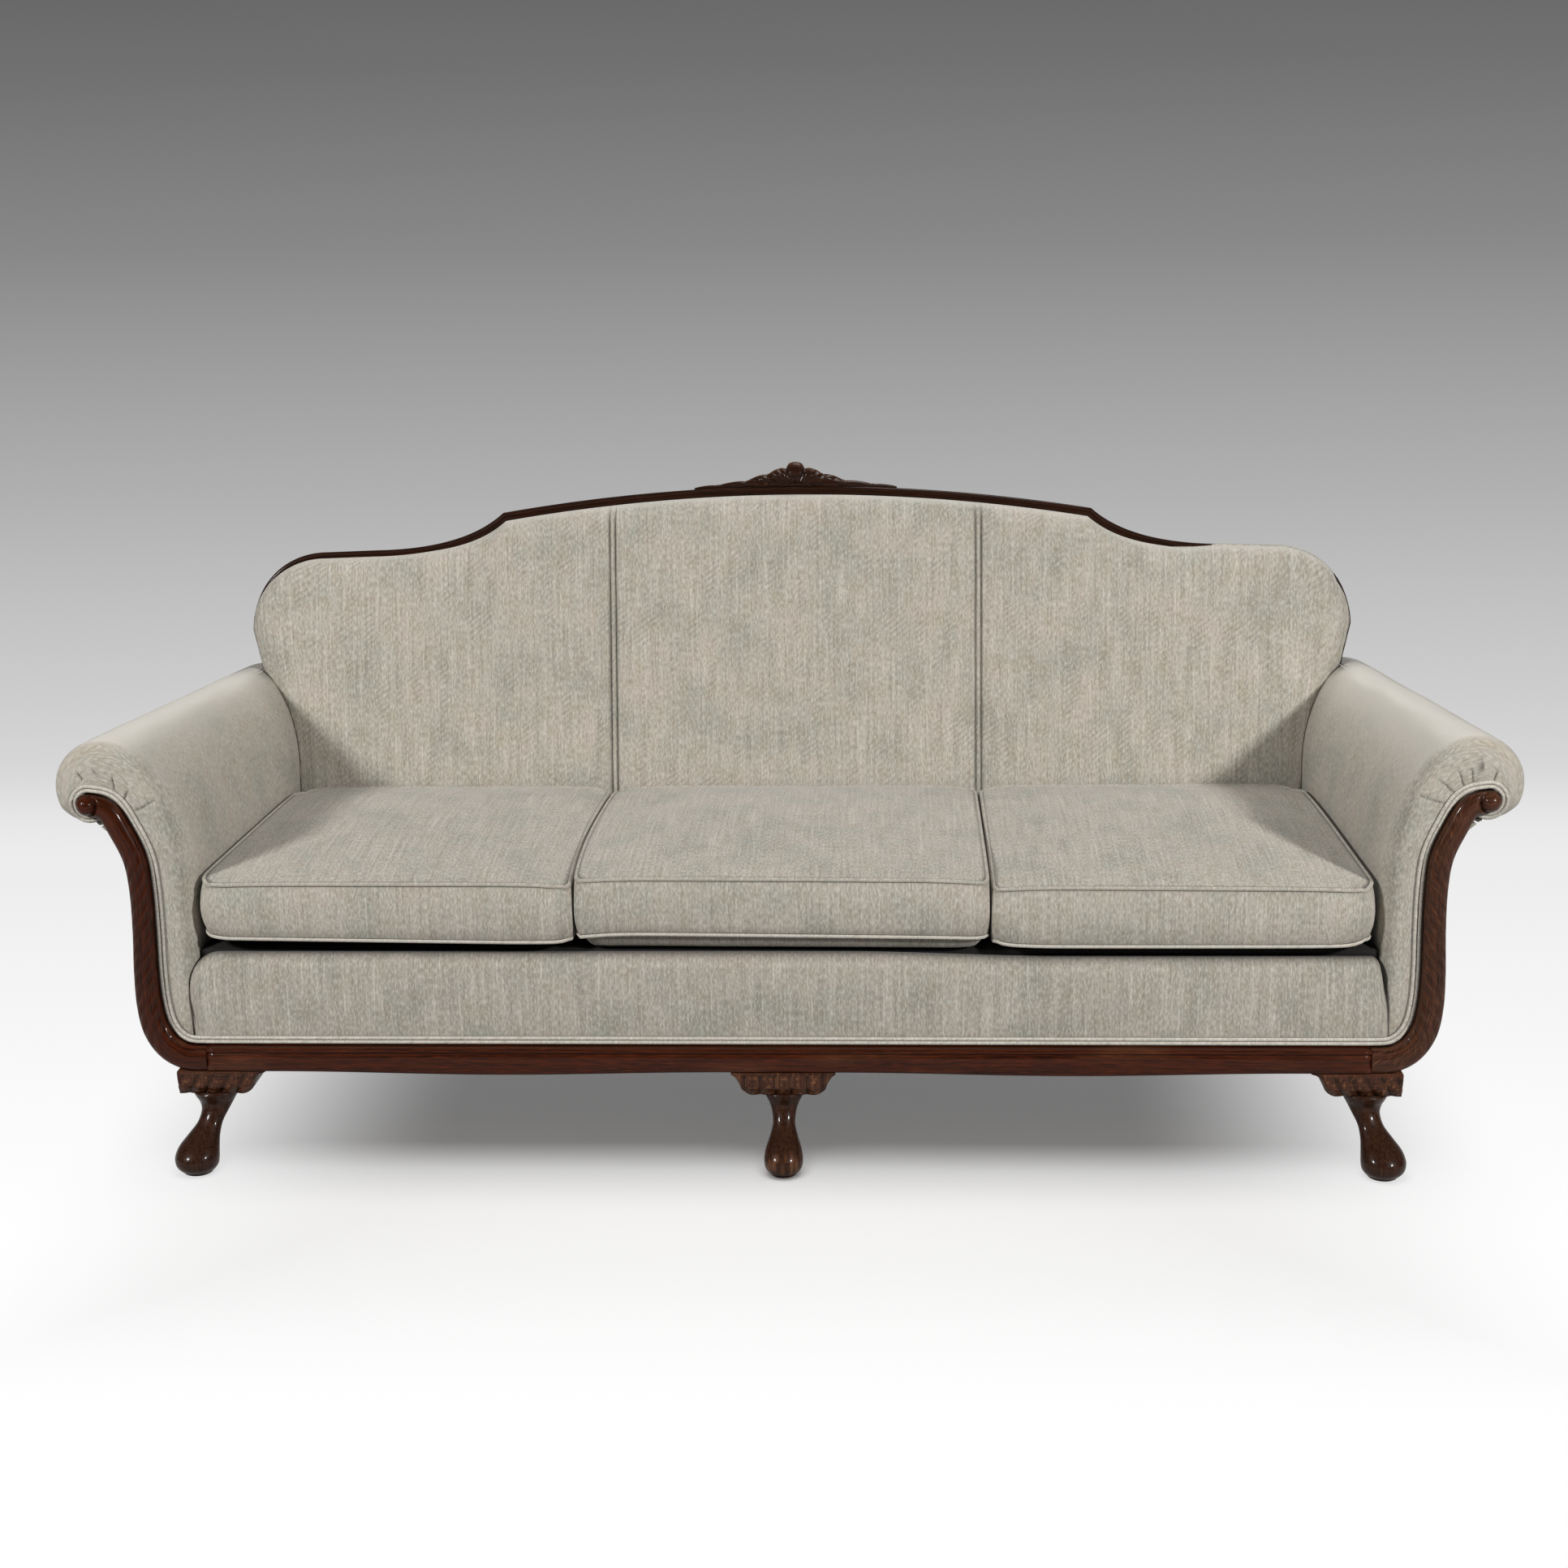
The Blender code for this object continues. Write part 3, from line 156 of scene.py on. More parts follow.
def strieWeave(name, pale=0.0, streak=1.0, ticked=1.0, shadedShare=0.0):
    material, tree, shader = newMaterial(name)
    uv = addNode(tree, "UVMap", uv_map="weave").outputs["UV"]
    layers = {"seam": addNode(tree, "Attribute", attribute_name="shade").outputs["Fac"]}
    for key in ("blotch", "sandy", "strie", "thread"):
        across, along = cloth[key]
        spot = addNode(tree, "Mapping", {"Vector": uv, "Scale": (1 / across, 1 / along, 1.0)})
        cloudy = addNode(tree, "TexNoise", {"Vector": spot.outputs["Vector"], "Scale": 1.0, "Detail": 4.0,
                                            "Roughness": 0.62})
        layers[key] = cloudy.outputs["Fac"]
    turned = addNode(tree, "Mapping", {"Vector": uv, "Rotation": (0, 0, math.radians(cloth["tickTurn"]))})
    ticks = addNode(tree, "TexWave", {
        "Vector": turned.outputs["Vector"], "Scale": waveUnit / cloth["tick"], "Distortion": 0.9,
        "Detail": 2.0, "Detail Scale": 2.0}, bands_direction="Y")
    across, along = cloth["tickPatch"]
    broken = addNode(tree, "Mapping", {"Vector": uv, "Scale": (1 / across, 1 / along, 1.0),
                                       "Location": (3.0, 7.0, 0.0)})
    patches = addNode(tree, "TexNoise", {"Vector": broken.outputs["Vector"], "Scale": 1.0, "Detail": 2.0})
    patch = addNode(tree, "MapRange", {"Value": patches.outputs["Fac"], "From Min": 0.44, "From Max": 0.64})
    tick = addNode(tree, "Math", {0: ticks.outputs["Fac"], 1: patch.outputs["Result"]}, operation="MULTIPLY")
    layers["tick"] = tick.outputs["Value"]
    streaks = cloth["streakShare"] * streak
    threads = cloth["threadShare"]
    tone = washed(tree, layers, hexLinear(cloth["greenGrey"]), (
        ("blotch", 0.36, 0.64, 0.0, 1.0, cloth["pinkBeige"]),
        ("sandy", 0.46, 0.68, 0.0, 0.70, cloth["sand"]),
        # painted shade: a share of the shadow colour over all of the cloth
        ("blotch", 0.30, 0.50, 0.24 + shadedShare, shadedShare, cloth["shadow"]),
        ("strie", 0.26, 0.50, streaks, 0.0, cloth["shadow"]),
        ("strie", 0.55, 0.74, 0.0, streaks, cloth["slub"]),
        ("thread", 0.26, 0.50, threads, 0.0, cloth["shadow"]),
        ("thread", 0.50, 0.76, pale, min(threads + pale, 1.0), cloth["slub"]),
        ("tick", 0.30, 1.0, 0.0, cloth["tickShare"] * ticked, cloth["shadow"]),
        # painted shade where the attribute shade is over 0, painted highlight where it is under 0
        ("seam", 0.0, 1.0, 0.0, 1.0, cloth["seam"]),
        ("seam", 0.0, -1.0, 0.0, 1.0, cloth["slub"]),
    ))
    tree.links.new(tone, shader.inputs["Base Color"])
    raised = addNode(tree, "Math", {0: layers["thread"], 1: layers["strie"]}, operation="ADD")
    relief = addNode(tree, "Math", {0: layers["tick"], 1: -cloth["tickDeep"] * ticked,
                                    2: raised.outputs["Value"]}, operation="MULTIPLY_ADD")
    uneven = addNode(tree, "Bump", {"Height": relief.outputs["Value"], "Strength": 0.40, "Distance": 0.0011})
    tree.links.new(uneven.outputs["Normal"], shader.inputs["Normal"])
    shader.inputs["Roughness"].default_value = 0.92
    shader.inputs["Specular IOR Level"].default_value = 0.25
    shader.inputs["Sheen Weight"].default_value = 0.18
    shader.inputs["Sheen Roughness"].default_value = 0.45
    return material


# French-polished mahogany: dark red-brown, fine pores along the grain, a thin glossy film over it. The
# attribute shade is wear where it is over 0 and old wax in the cuts where it is under 0
polish = {
    "rail": ("210d05", "3f1a09", "5a240f"), "leg": ("1f110b", "362015", "4b2d1e"),
    "facing": ("281710", "46291b", "5e3624"), "crown": ("1a0e08", "2c180e", "3c2215"),
    "worn": "8a5c3e", "wax": "0b0402", "grain": (0.180, 0.004), "pore": (0.030, 0.0011),
    "scratch": (0.022, 0.0013), "scratchTurn": 38.0,
}


def mahogany(name, along, tones="rail"):
    material, tree, shader = newMaterial(name)
    if along == "uv":
        place = addNode(tree, "UVMap", uv_map="weave").outputs["UV"]
    else:
        place = addNode(tree, "TexCoord").outputs["Object"]
    long = max("xyz".find(along), 0)
    layers = {"wax": addNode(tree, "Attribute", attribute_name="shade").outputs["Fac"]}
    for key in ("grain", "pore"):
        scale = [1 / polish[key][1]] * 3
        scale[long] = 1 / polish[key][0]
        spot = addNode(tree, "Mapping", {"Vector": place, "Scale": tuple(scale)}).outputs["Vector"]
        figure = addNode(tree, "TexNoise", {"Vector": spot, "Scale": 1.0, "Detail": 4.0, "Distortion": 0.4})
        layers[key] = figure.outputs["Fac"]
    wear = addNode(tree, "Math", {0: layers["wax"], 1: layers["pore"]}, operation="MULTIPLY")
    layers["wear"] = wear.outputs["Value"]
    deep, middle, light = polish[tones]
    washes = [
        ("grain", 0.35, 0.68, 0.0, 1.0, middle), ("pore", 0.50, 0.74, 0.0, 1.0, light),
        ("wear", 0.0, 1.0, 0.0, 1.0, polish["worn"]), ("wax", 0.0, -1.0, 0.0, 1.0, polish["wax"]),
    ]
    if tones == "facing":  # short pale scratches across the band
        slant = math.radians(polish["scratchTurn"])
        turned = addNode(tree, "Mapping", {"Vector": place, "Rotation": (0, 0, slant)})
        fine = (1 / polish["scratch"][0], 1 / polish["scratch"][1], 1.0)
        spot = addNode(tree, "Mapping", {"Vector": turned.outputs["Vector"], "Scale": fine}).outputs["Vector"]
        lines = addNode(tree, "TexNoise", {"Vector": spot, "Scale": 1.0, "Detail": 2.0})
        layers["scratch"] = lines.outputs["Fac"]
        washes.append(("scratch", 0.55, 0.78, 0.0, 0.55, polish["worn"]))
    tree.links.new(washed(tree, layers, hexLinear(deep), washes), shader.inputs["Base Color"])
    rough = addNode(tree, "MapRange", {"Value": layers["grain"], "To Min": 0.26, "To Max": 0.46})
    tree.links.new(rough.outputs["Result"], shader.inputs["Roughness"])
    uneven = addNode(tree, "Bump", {"Height": layers["pore"], "Strength": 0.12, "Distance": 0.0006})
    tree.links.new(uneven.outputs["Normal"], shader.inputs["Normal"])
    shader.inputs["IOR"].default_value = 1.5
    shader.inputs["Specular IOR Level"].default_value = 0.06
    shader.inputs["Coat Weight"].default_value = 0.17
    shader.inputs["Coat Roughness"].default_value = 0.08
    return material


# Planed beech, unfinished: pale straw with short darker flecks along the grain, no film
timber = {
    "base": "b8946a", "late": "9c7750", "fleck": "8a6644", "ring": (0.625, 0.012), "dash": (0.012, 0.0012),
}


def beech(name, along):
    material, tree, shader = newMaterial(name)
    place = addNode(tree, "TexCoord").outputs["Object"]
    layers = {}
    for key, detail, twist in (("ring", 3.0, 0.6), ("dash", 1.0, 0.0)):
        scale = [1 / timber[key][1]] * 3
        scale["xyz".index(along)] = 1 / timber[key][0]
        spot = addNode(tree, "Mapping", {"Vector": place, "Scale": tuple(scale)}).outputs["Vector"]
        figure = addNode(tree, "TexNoise", {"Vector": spot, "Scale": 1.0, "Detail": detail,
                                            "Distortion": twist})
        layers[key] = figure.outputs["Fac"]
    tone = washed(tree, layers, hexLinear(timber["base"]), (
        ("ring", 0.0, 1.0, 0.0, 1.0, timber["late"]), ("dash", 0.58, 0.70, 0.0, 1.0, timber["fleck"])))
    tree.links.new(tone, shader.inputs["Base Color"])
    uneven = addNode(tree, "Bump", {"Height": layers["dash"], "Strength": 0.2, "Distance": 0.0005})
    tree.links.new(uneven.outputs["Normal"], shader.inputs["Normal"])
    shader.inputs["Roughness"].default_value = 0.68
    return material


# Drawn spring wire: oiled carbon steel, grey with a faint brown bloom in patches 25 mm across
wire = {"steel": "a8a6a2", "bloom": "6d625a", "patch": 0.025}


def drawnWire(name):
    material, tree, shader = newMaterial(name)
    place = addNode(tree, "TexCoord").outputs["Object"]
    bloom = addNode(tree, "TexNoise", {"Vector": place, "Scale": 1 / wire["patch"], "Detail": 3.0})
    layers = {"bloom": bloom.outputs["Fac"]}
    tone = washed(tree, layers, hexLinear(wire["steel"]), (("bloom", 0.0, 1.0, 0.0, 1.0, wire["bloom"]),))
    tree.links.new(tone, shader.inputs["Base Color"])
    rough = addNode(tree, "MapRange", {"Value": layers["bloom"], "To Min": 0.28, "To Max": 0.55})
    tree.links.new(rough.outputs["Result"], shader.inputs["Roughness"])
    shader.inputs["Metallic"].default_value = 1.0
    return material


# Black cambric: a thin plain-woven dust cloth, matte, with a thread grid drawn coarse enough to show
def cambric(name, low="161616", high="2c2b2a", thread=0.0015):
    material, tree, shader = newMaterial(name)
    place = addNode(tree, "TexCoord").outputs["Object"]
    warp = addNode(tree, "TexWave", {"Vector": place, "Scale": waveUnit / thread}, bands_direction="X")
    weft = addNode(tree, "TexWave", {"Vector": place, "Scale": waveUnit / thread}, bands_direction="Y")
    grid = addNode(tree, "Math", {0: warp.outputs["Fac"], 1: weft.outputs["Fac"]}, operation="MULTIPLY")
    grid = grid.outputs["Value"]
    tone = washed(tree, {"grid": grid}, hexLinear(low), (("grid", 0.0, 1.0, 0.0, 1.0, high),))
    tree.links.new(tone, shader.inputs["Base Color"])
    uneven = addNode(tree, "Bump", {"Height": grid, "Strength": 0.3, "Distance": 0.0004})
    tree.links.new(uneven.outputs["Normal"], shader.inputs["Normal"])
    shader.inputs["Roughness"].default_value = 0.95
    return material


upholsteryCloth = strieWeave("strie_upholstery_weave")
weltCloth = strieWeave("strie_welt_weave", pale=0.30)
# the arm, seat and border weaves carry a share of painted shade, the border most as it sits low under the
# cushions
armCloth = strieWeave("strie_arm_weave", streak=0.25, ticked=0.0, shadedShare=0.04)
seatCloth = strieWeave("strie_seat_weave", streak=0.9, ticked=0.25, shadedShare=0.05)
shadedBorderCloth = strieWeave("strie_border_weave_painted_shade", streak=1.1, ticked=0.0, shadedShare=0.16)
# a near-black platform lining: painted shade for the gap under the cushions
gapShadeLining = cambric("platform_lining_painted_gap_shade", "0c0a08", "161310")
carvedMahogany = mahogany("polished_mahogany_carved", "uv")
facingMahogany = mahogany("polished_mahogany_facing", "uv", "facing")
crownMahogany = mahogany("polished_mahogany_crown", "uv", "crown")
blockMahogany = mahogany("polished_mahogany_block", "x", "facing")
legMahogany = mahogany("polished_mahogany_upright", "z", "leg")
print("materials made")


def skin(rings, wrap=True, cap=True):
    # A grid bent over rings of points (x, y, z, shade), with a cloth map in metres
    rows = [list(ring) + ([ring[0]] if wrap else []) for ring in rings]
    stepsU = len(rows) - 1
    stepsV = len(rows[0]) - 1
    along = [0.0]
    for near, far in zip(rows, rows[1:]):
        gaps = [(Vector(b[:3]) - Vector(a[:3])).length for a, b in zip(near, far)]
        along.append(along[-1] + sum(gaps) / len(gaps))
    around = []
    for row in rows:
        run = [0.0]
        for a, b in zip(row, row[1:]):
            run.append(run[-1] + (Vector(b[:3]) - Vector(a[:3])).length)
        around.append(run)
    bm = bmesh.new()
    weave = bm.loops.layers.uv.new("weave")
    shade = bm.verts.layers.float.new("shade")
    bmesh.ops.create_grid(bm, x_segments=stepsU, y_segments=stepsV, size=0.5)
    place = {v: (round((v.co.x + 0.5) * stepsU), round((v.co.y + 0.5) * stepsV)) for v in bm.verts}
    for face in bm.faces:
        for loop in face.loops:
            i, j = place[loop.vert]
            loop[weave].uv = (along[i], around[i][j])
    for vert, (i, j) in place.items():
        spot = rows[i][j]
        vert.co = spot[:3]
        if len(spot) > 3:
            vert[shade] = spot[3]
    bmesh.ops.remove_doubles(bm, verts=bm.verts[:], dist=1e-6)
    if cap:
        bmesh.ops.holes_fill(bm, edges=bm.edges[:], sides=0)
    bmesh.ops.recalc_face_normals(bm, faces=bm.faces[:])
    if cap and bm.calc_volume(signed=True) < 0:
        bmesh.ops.reverse_faces(bm, faces=bm.faces[:])
    return bm


def openSkin(rings, middle):  # an open sheet with its faces turned away from a point
    bm = skin(rings, wrap=False, cap=False)
    total = 0.0
    for face in bm.faces:
        total += face.normal.dot(face.calc_center_median() - Vector(middle)) * face.calc_area()
    if total < 0:
        bmesh.ops.reverse_faces(bm, faces=bm.faces[:])
    return bm


def joined(parts):  # several meshes in one
    whole = bmesh.new()
    for part in parts:
        holder = bpy.data.meshes.new("part")
        part.to_mesh(holder)
        whole.from_mesh(holder)
        bpy.data.meshes.remove(holder)
        part.free()
    return whole


def makeObject(name, bm):
    mesh = bpy.data.meshes.new(name)
    bm.to_mesh(mesh)
    bm.free()
    made = bpy.data.objects.new(name, mesh)
    scene.collection.objects.link(made)
    return made


def makePiece(name, bm, material, body="frame", stands=()):
    piece = makeObject(name, bm)
    piece.data.shade_smooth()
    piece.data.materials.append(material)
    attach(piece, body)
    if stands:
        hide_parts(*stands)
    return piece


def thicken(piece, thick):  # inwards from the drawn faces
    layer = piece.modifiers.new("thickness", "SOLIDIFY")
    layer.thickness = thick
    layer.offset = -1.0


def tube(path, radius, around, closed, shadeOf, front=(0, 0, 1)):  # a round cord along a path in space
    rings = []
    count = len(path)
    for i, spot in enumerate(path):
        before = Vector(path[i - 1] if closed or i else path[0])
        after = Vector(path[(i + 1) % count] if closed or i < count - 1 else path[-1])
        ahead = (after - before).normalized()
        side = ahead.cross(Vector(front)).normalized()
        top = side.cross(ahead)
        ring = []
        for k in range(around):
            angle = 2 * math.pi * k / around
            point = Vector(spot) + (side * math.cos(angle) + top * math.sin(angle)) * radius
            ring.append(tuple(point) + (shadeOf(angle, i / count),))
        rings.append(ring)
    if closed:
        rings.append(rings[0])
    return skin(rings, cap=not closed)


# Loose seat cushions: boxed and piped, blown up by a short cloth run with the piped seams held. Pairs are for
# the left and right end, corners for the front beside a cushion, the front beside an arm and the rear
cushion = {
    "left": {"x": (-0.8445, -0.2995), "armSide": -1, "bows": (0, 1), "crown": 0.014, "seed": 1.3,
             "lift": (0.002, -0.006), "belly": 0.55, "sag": (0.002, 0.003)},
    "middle": {"x": (-0.2965, 0.2965), "armSide": 0, "bows": (1, 0), "crown": 0.016, "seed": 4.1,
               "lift": (0.009, 0.002), "belly": 0.07, "sag": (-0.006, -0.002)},
    "right": {"x": (0.2995, 0.8430), "armSide": 1, "bows": (0, 0), "crown": 0.014, "seed": 7.7,
              "lift": (-0.011, -0.011), "belly": 0.40, "sag": (0.008, 0.012)},
    "front": frontY - 0.004, "depth": 0.550, "low": 0.346, "high": 0.430, "deck": 0.3263, "bellyDeep": 0.026,
    "corner": (0.026, 0.052, 0.042), "cornerDrop": 0.006, "bow": 0.009, "cuts": (46, 44, 11), "cord": 0.0030,
    "cordIn": 0.0012, "sewnTop": 0.0032, "sewnLow": 0.0046, "sewnWide": 0.0020,
    "bandSwell": (0.005, 0.007, 0.0015), "frames": 20, "cap": 0.022, "overFront": 0.009, "overBack": 0.004,
    "blow": {"quality": 6, "mass": 0.25, "tension_stiffness": 12, "compression_stiffness": 12,
             "shear_stiffness": 5, "bending_stiffness": 1.5, "use_pressure": True,
             "uniform_pressure_force": 4.0, "vertex_group_mass": "seam"},
    # the last of each piping entry is the angle round the cord of its painted shade line
    "piping": ((1.0, "top", seatCloth, 0.0004, 0.0004, 158), (-1.0, "low", weltCloth, 0.0012, 0.0006, 80)),
}


def sideBow(spec, u, y):  # the middle cushion has pushed into its left neighbour
    share = min(max((y - cushion["front"]) / cushion["depth"], 0.0), 1.0)
    return -cushion["bow"] * spec["bows"][1 if u > 0 else 0] * math.sin(math.pi * share)


def cushionEnds(spec, y, inside=0.0):
    left, right = spec["x"]
    return left + sideBow(spec, -1, y) + inside, right + sideBow(spec, 1, y) - inside


def cushionPlan(spec, u, v):  # a rounded rectangle in plan, closing in along an arm
    half = (spec["x"][1] - spec["x"][0]) / 2
    deep = cushion["depth"] / 2
    reach = max(abs(u), abs(v), 1e-6)
    px = abs(u) / reach * half
    py = abs(v) / reach * deep
    corner = cushion["corner"][2 if v > 0 else (1 if u * spec["armSide"] > 0 else 0)]
    cx = half - corner
    cy = deep - corner
    if px > cx and py > cy:
        grow = corner / math.hypot(px - cx, py - cy)
        px = cx + (px - cx) * grow
        py = cy + (py - cy) * grow
    x = (spec["x"][0] + spec["x"][1]) / 2 + math.copysign(px, u) * reach
    y = cushion["front"] + deep + math.copysign(py, v) * reach
    if u * spec["armSide"] > 0:
        x -= spec["armSide"] * (sofa["seatFront"] - seatHalf(max(y, frontY))) * abs(u)
    return x + sideBow(spec, u, y) * abs(u) ** 3, y


def seamHeight(spec, u, v, w):
    if w > 0:
        sag = mixed(spec["sag"][0], spec["sag"][1], (u + 1) / 2) * eased(0.6, -1.0, v)
        return cushion["high"] - sag - cushion["cornerDrop"] * (u * v) ** 8
    lift = mixed(spec["lift"][0], spec["lift"][1], (u + 1) / 2) * (1 - v) / 2
    return cushion["low"] + lift * (1 - (0.4 if lift < 0 else 1.0) * (u * v) ** 8) + 0.001 * (u * v) ** 6


def edgeSpread(value):  # closer spacing beside the seams
    return math.copysign(1 - (1 - abs(value)) ** 1.7, value)


def cushionSpot(spec, u, v, w):  # a point of the cover before the cloth run, and its shade
    x, y = cushionPlan(spec, u, v)
    z = mixed(seamHeight(spec, u, v, -1.0), seamHeight(spec, u, v, 1.0), (w + 1) / 2)
    reach = max(abs(u), abs(v))
    if w > 0.999:
        dome = (1 - u * u) * (1 - v * v)
        z += spec["crown"] * dome ** 0.8
        z += 0.0016 * noise.noise(Vector((x * 9, y * 9, spec["seed"]))) * min(dome * 4, 1.0)
        away = (1 - reach) * (spec["x"][1] - spec["x"][0]) / 2
        # painted shade in the seam crease beside the top piping, left out along the rear
        line = bell(away, cushion["sewnTop"], cushion["sewnWide"]) if reach < 1 else 0.6
        return (x, y, z), 0.80 * line * (1 - eased(0.80, 0.96, v))
    if w < -0.999:
        z = max(z - cushion["bellyDeep"] * eased(0.0, spec["belly"], 1 - reach), cushion["deck"])
        # painted shade on the underside, where the gap below the cushion falls dark
        return (x, y, z), mixed(0.30, 0.95, eased(0.03, 0.09, 1 - reach))
    flat, corner, drawn = cushion["bandSwell"]
    swell = (flat + corner * (u * v) ** 4) * (1 - w * w) - drawn
    out = Vector((u ** 9, v ** 9)).normalized()
    rise = (w + 1) / 2 * (cushion["high"] - cushion["low"])
    # painted shade in the seam crease above the lower piping
    line = bell(rise, cushion["sewnLow"], cushion["sewnWide"])
    return (x + out.x * swell, y + out.y * swell, z), 0.7 * line


def blowUp(piece, spec, held):
    start = [vert.co.copy() for vert in piece.data.vertices]
    piece.vertex_groups.new(name="seam").add(held, 1.0, "REPLACE")
    blow = piece.modifiers.new("blow", "CLOTH")
    for key, value in cushion["blow"].items():
        setattr(blow.settings, key, value)
    blow.settings.effector_weights.gravity = 0.0
    blow.point_cache.frame_start = 1
    blow.point_cache.frame_end = cushion["frames"]
    for step in range(1, cushion["frames"] + 1):
        scene.frame_set(step)
    blown = piece.evaluated_get(bpy.context.evaluated_depsgraph_get()).to_mesh()
    ends = [vert.co.copy() for vert in blown.vertices]
    piece.modifiers.remove(blow)
    scene.frame_set(1)
    front = cushion["front"] - cushion["overFront"]
    rear = cushion["front"] + cushion["depth"] + cushion["overBack"]
    for vert, near, far in zip(piece.data.vertices, start, ends):
        move = far - near
        if near.z <= cushion["low"] + 0.010:  # the underside rests on the deck
            move = Vector((0, 0, 0))
        elif move.length > cushion["cap"]:
            move = move * (cushion["cap"] / move.length)
        spot = near + move
        left, right = cushionEnds(spec, spot.y)
        spot.x = min(max(spot.x, left), right)
        spot.y = min(max(spot.y, front), rear)
        vert.co = spot
    piece.vertex_groups.clear()


def pipeCushion(spec, word):
    for w, level, cordCloth, forward, drop, sewn in cushion["piping"]:
        path = []
        for k in range(240):
            angle = 2 * math.pi * k / 240
            reach = max(abs(math.cos(angle)), abs(math.sin(angle)))
            u = math.cos(angle) / reach
            v = math.sin(angle) / reach
            x, y = cushionPlan(spec, u, v)
            out = Vector((u ** 9, v ** 9)).normalized()
            left, right = cushionEnds(spec, y, cushion["cord"])
            x = min(max(x - out.x * cushion["cordIn"], left), right)
            path.append((x, y - forward * max(-out.y, 0.0), seamHeight(spec, u, v, w) - drop))

        def sewnLine(angle, share):  # painted shade in the seam crease beside the cord, left out along the rear
            return 0.9 if abs(angle - math.radians(sewn)) < 0.40 and abs(share - 0.25) > 0.14 else 0.0

        cord = tube(path, cushion["cord"], 16, True, sewnLine)
        name = "seat_cushion_piping_" + level + "_" + word
        makePiece(name, cord, cordCloth, word + "_cushion")


def makeCushion(word):
    spec = cushion[word]
    bm = bmesh.new()
    bmesh.ops.create_cube(bm, size=2.0)
    for axis, cuts in enumerate(cushion["cuts"]):
        run = [e for e in bm.edges if abs((e.verts[0].co - e.verts[1].co)[axis]) > 1e-4]
        bmesh.ops.subdivide_edges(bm, edges=run, cuts=cuts, use_grid_fill=True)
    weave = bm.loops.layers.uv.new("weave")
    shade = bm.verts.layers.float.new("shade")
    seam = []
    for vert in bm.verts:
        u = edgeSpread(vert.co.x)
        v = edgeSpread(vert.co.y)
        w = vert.co.z
        if abs(w) > 0.999 and max(abs(u), abs(v)) > 0.999:
            seam.append(vert)
        vert.co, vert[shade] = cushionSpot(spec, u, v, w)
    bm.normal_update()
    for face in bm.faces:
        flat = abs(face.normal.z) > 0.6
        turned = not flat and abs(face.normal.x) > abs(face.normal.y)
        for loop in face.loops:
            spot = loop.vert.co
            loop[weave].uv = (spot[1 if turned else 0], spot[1 if flat else 2])
    bmesh.ops.recalc_face_normals(bm, faces=bm.faces[:])
    bm.verts.index_update()
    held = [vert.index for vert in seam]
    piece = makePiece("seat_cushion_cover_" + word, bm, seatCloth, word + "_cushion",
                      ("seat_cushion_" + word,))
    blowUp(piece, spec, held)
    soft = piece.modifiers.new("soften", "SUBSURF")
    soft.levels = 1
    soft.render_levels = 1
    pipeCushion(spec, word)
    print("cushion", word, "done")


for word in ("left", "middle", "right"):
    makeCushion(word)

# Camel-shaped line of the back and its show-wood moulding. Profiles are (inside the line, behind the face)
back = {
    "archTop": 0.9053, "half": 0.920, "stepX": 0.48769, "stepZ": 0.8655, "shoulder": (0.705, 0.8055),
    "corner": (0.786, 0.803), "sideZ": 0.6745, "sideFoot": 0.6225, "sideTaper": 0.012, "mould": 0.014,
    "mouldFront": 0.012, "mouldBelow": 0.013, "slim": (0.40, 0.70, 0.80), "fine": 12,
    "moulding": ((0.0046, -0.0120), (0.0022, -0.0112), (0.0007, -0.0090), (0.0, -0.0060), (0.0, 0.0415),
                 (0.0010, 0.0445), (0.0030, 0.0455), (0.0140, 0.0455), (0.0140, -0.0090),
                 (0.0132, -0.0112), (0.0115, -0.0120), (0.0102, -0.0112), (0.0092, -0.0094),
                 (0.0082, -0.0094), (0.0070, -0.0112), (0.0060, -0.0119)),
    "fold": ((0.0135, -0.0130), (0.0060, -0.0132), (0.0020, -0.0122), (-0.0002, -0.0098), (-0.0008, -0.0062),
             (-0.0008, 0.0300), (0.0010, 0.0310), (0.0030, 0.0300), (0.0135, 0.0000)),
}


def archZ(x):
    drop = back["archTop"] - back["stepZ"]
    radius = (back["stepX"] ** 2 + drop**2) / (2 * drop)
    return back["archTop"] - radius + math.sqrt(radius**2 - x * x)


def camelLine(fine):  # right half, from the middle of the arch out and down to the arm, as (x, slope)
    line = []
    for k in range(4 * fine):
        x = back["stepX"] * k / (4 * fine)
        line.append((x, archZ(x)))
    a = (back["stepX"], back["stepZ"])
    d = back["shoulder"]
    b = (a[0] + 0.045, a[1] - 0.040)
    c = (d[0] - 0.100, d[1] + 0.001)
    for k in range(3 * fine):
        t = k / (3 * fine)
        weights = ((1 - t) ** 3, 3 * t * (1 - t) ** 2, 3 * t * t * (1 - t), t**3)
        line.append(tuple(sum(w * p[i] for w, p in zip(weights, (a, b, c, d))) for i in (0, 1)))
    line.append(d)
    for k in range(3 * fine + 1):
        angle = math.pi / 2 * k / (3 * fine)
        line.append((mixed(back["corner"][0], back["half"], math.sin(angle)),
                     mixed(back["sideZ"], back["corner"][1], math.cos(angle))))
    for share in (0.5, 1.0):
        line.append((back["half"] - back["sideTaper"] * share, mixed(back["sideZ"], back["sideFoot"], share)))
    return [(x, upSlope(z)) for x, z in line]


def bothSides(line):
    return [(-x, s) for x, s in reversed(line[1:])] + list(line)


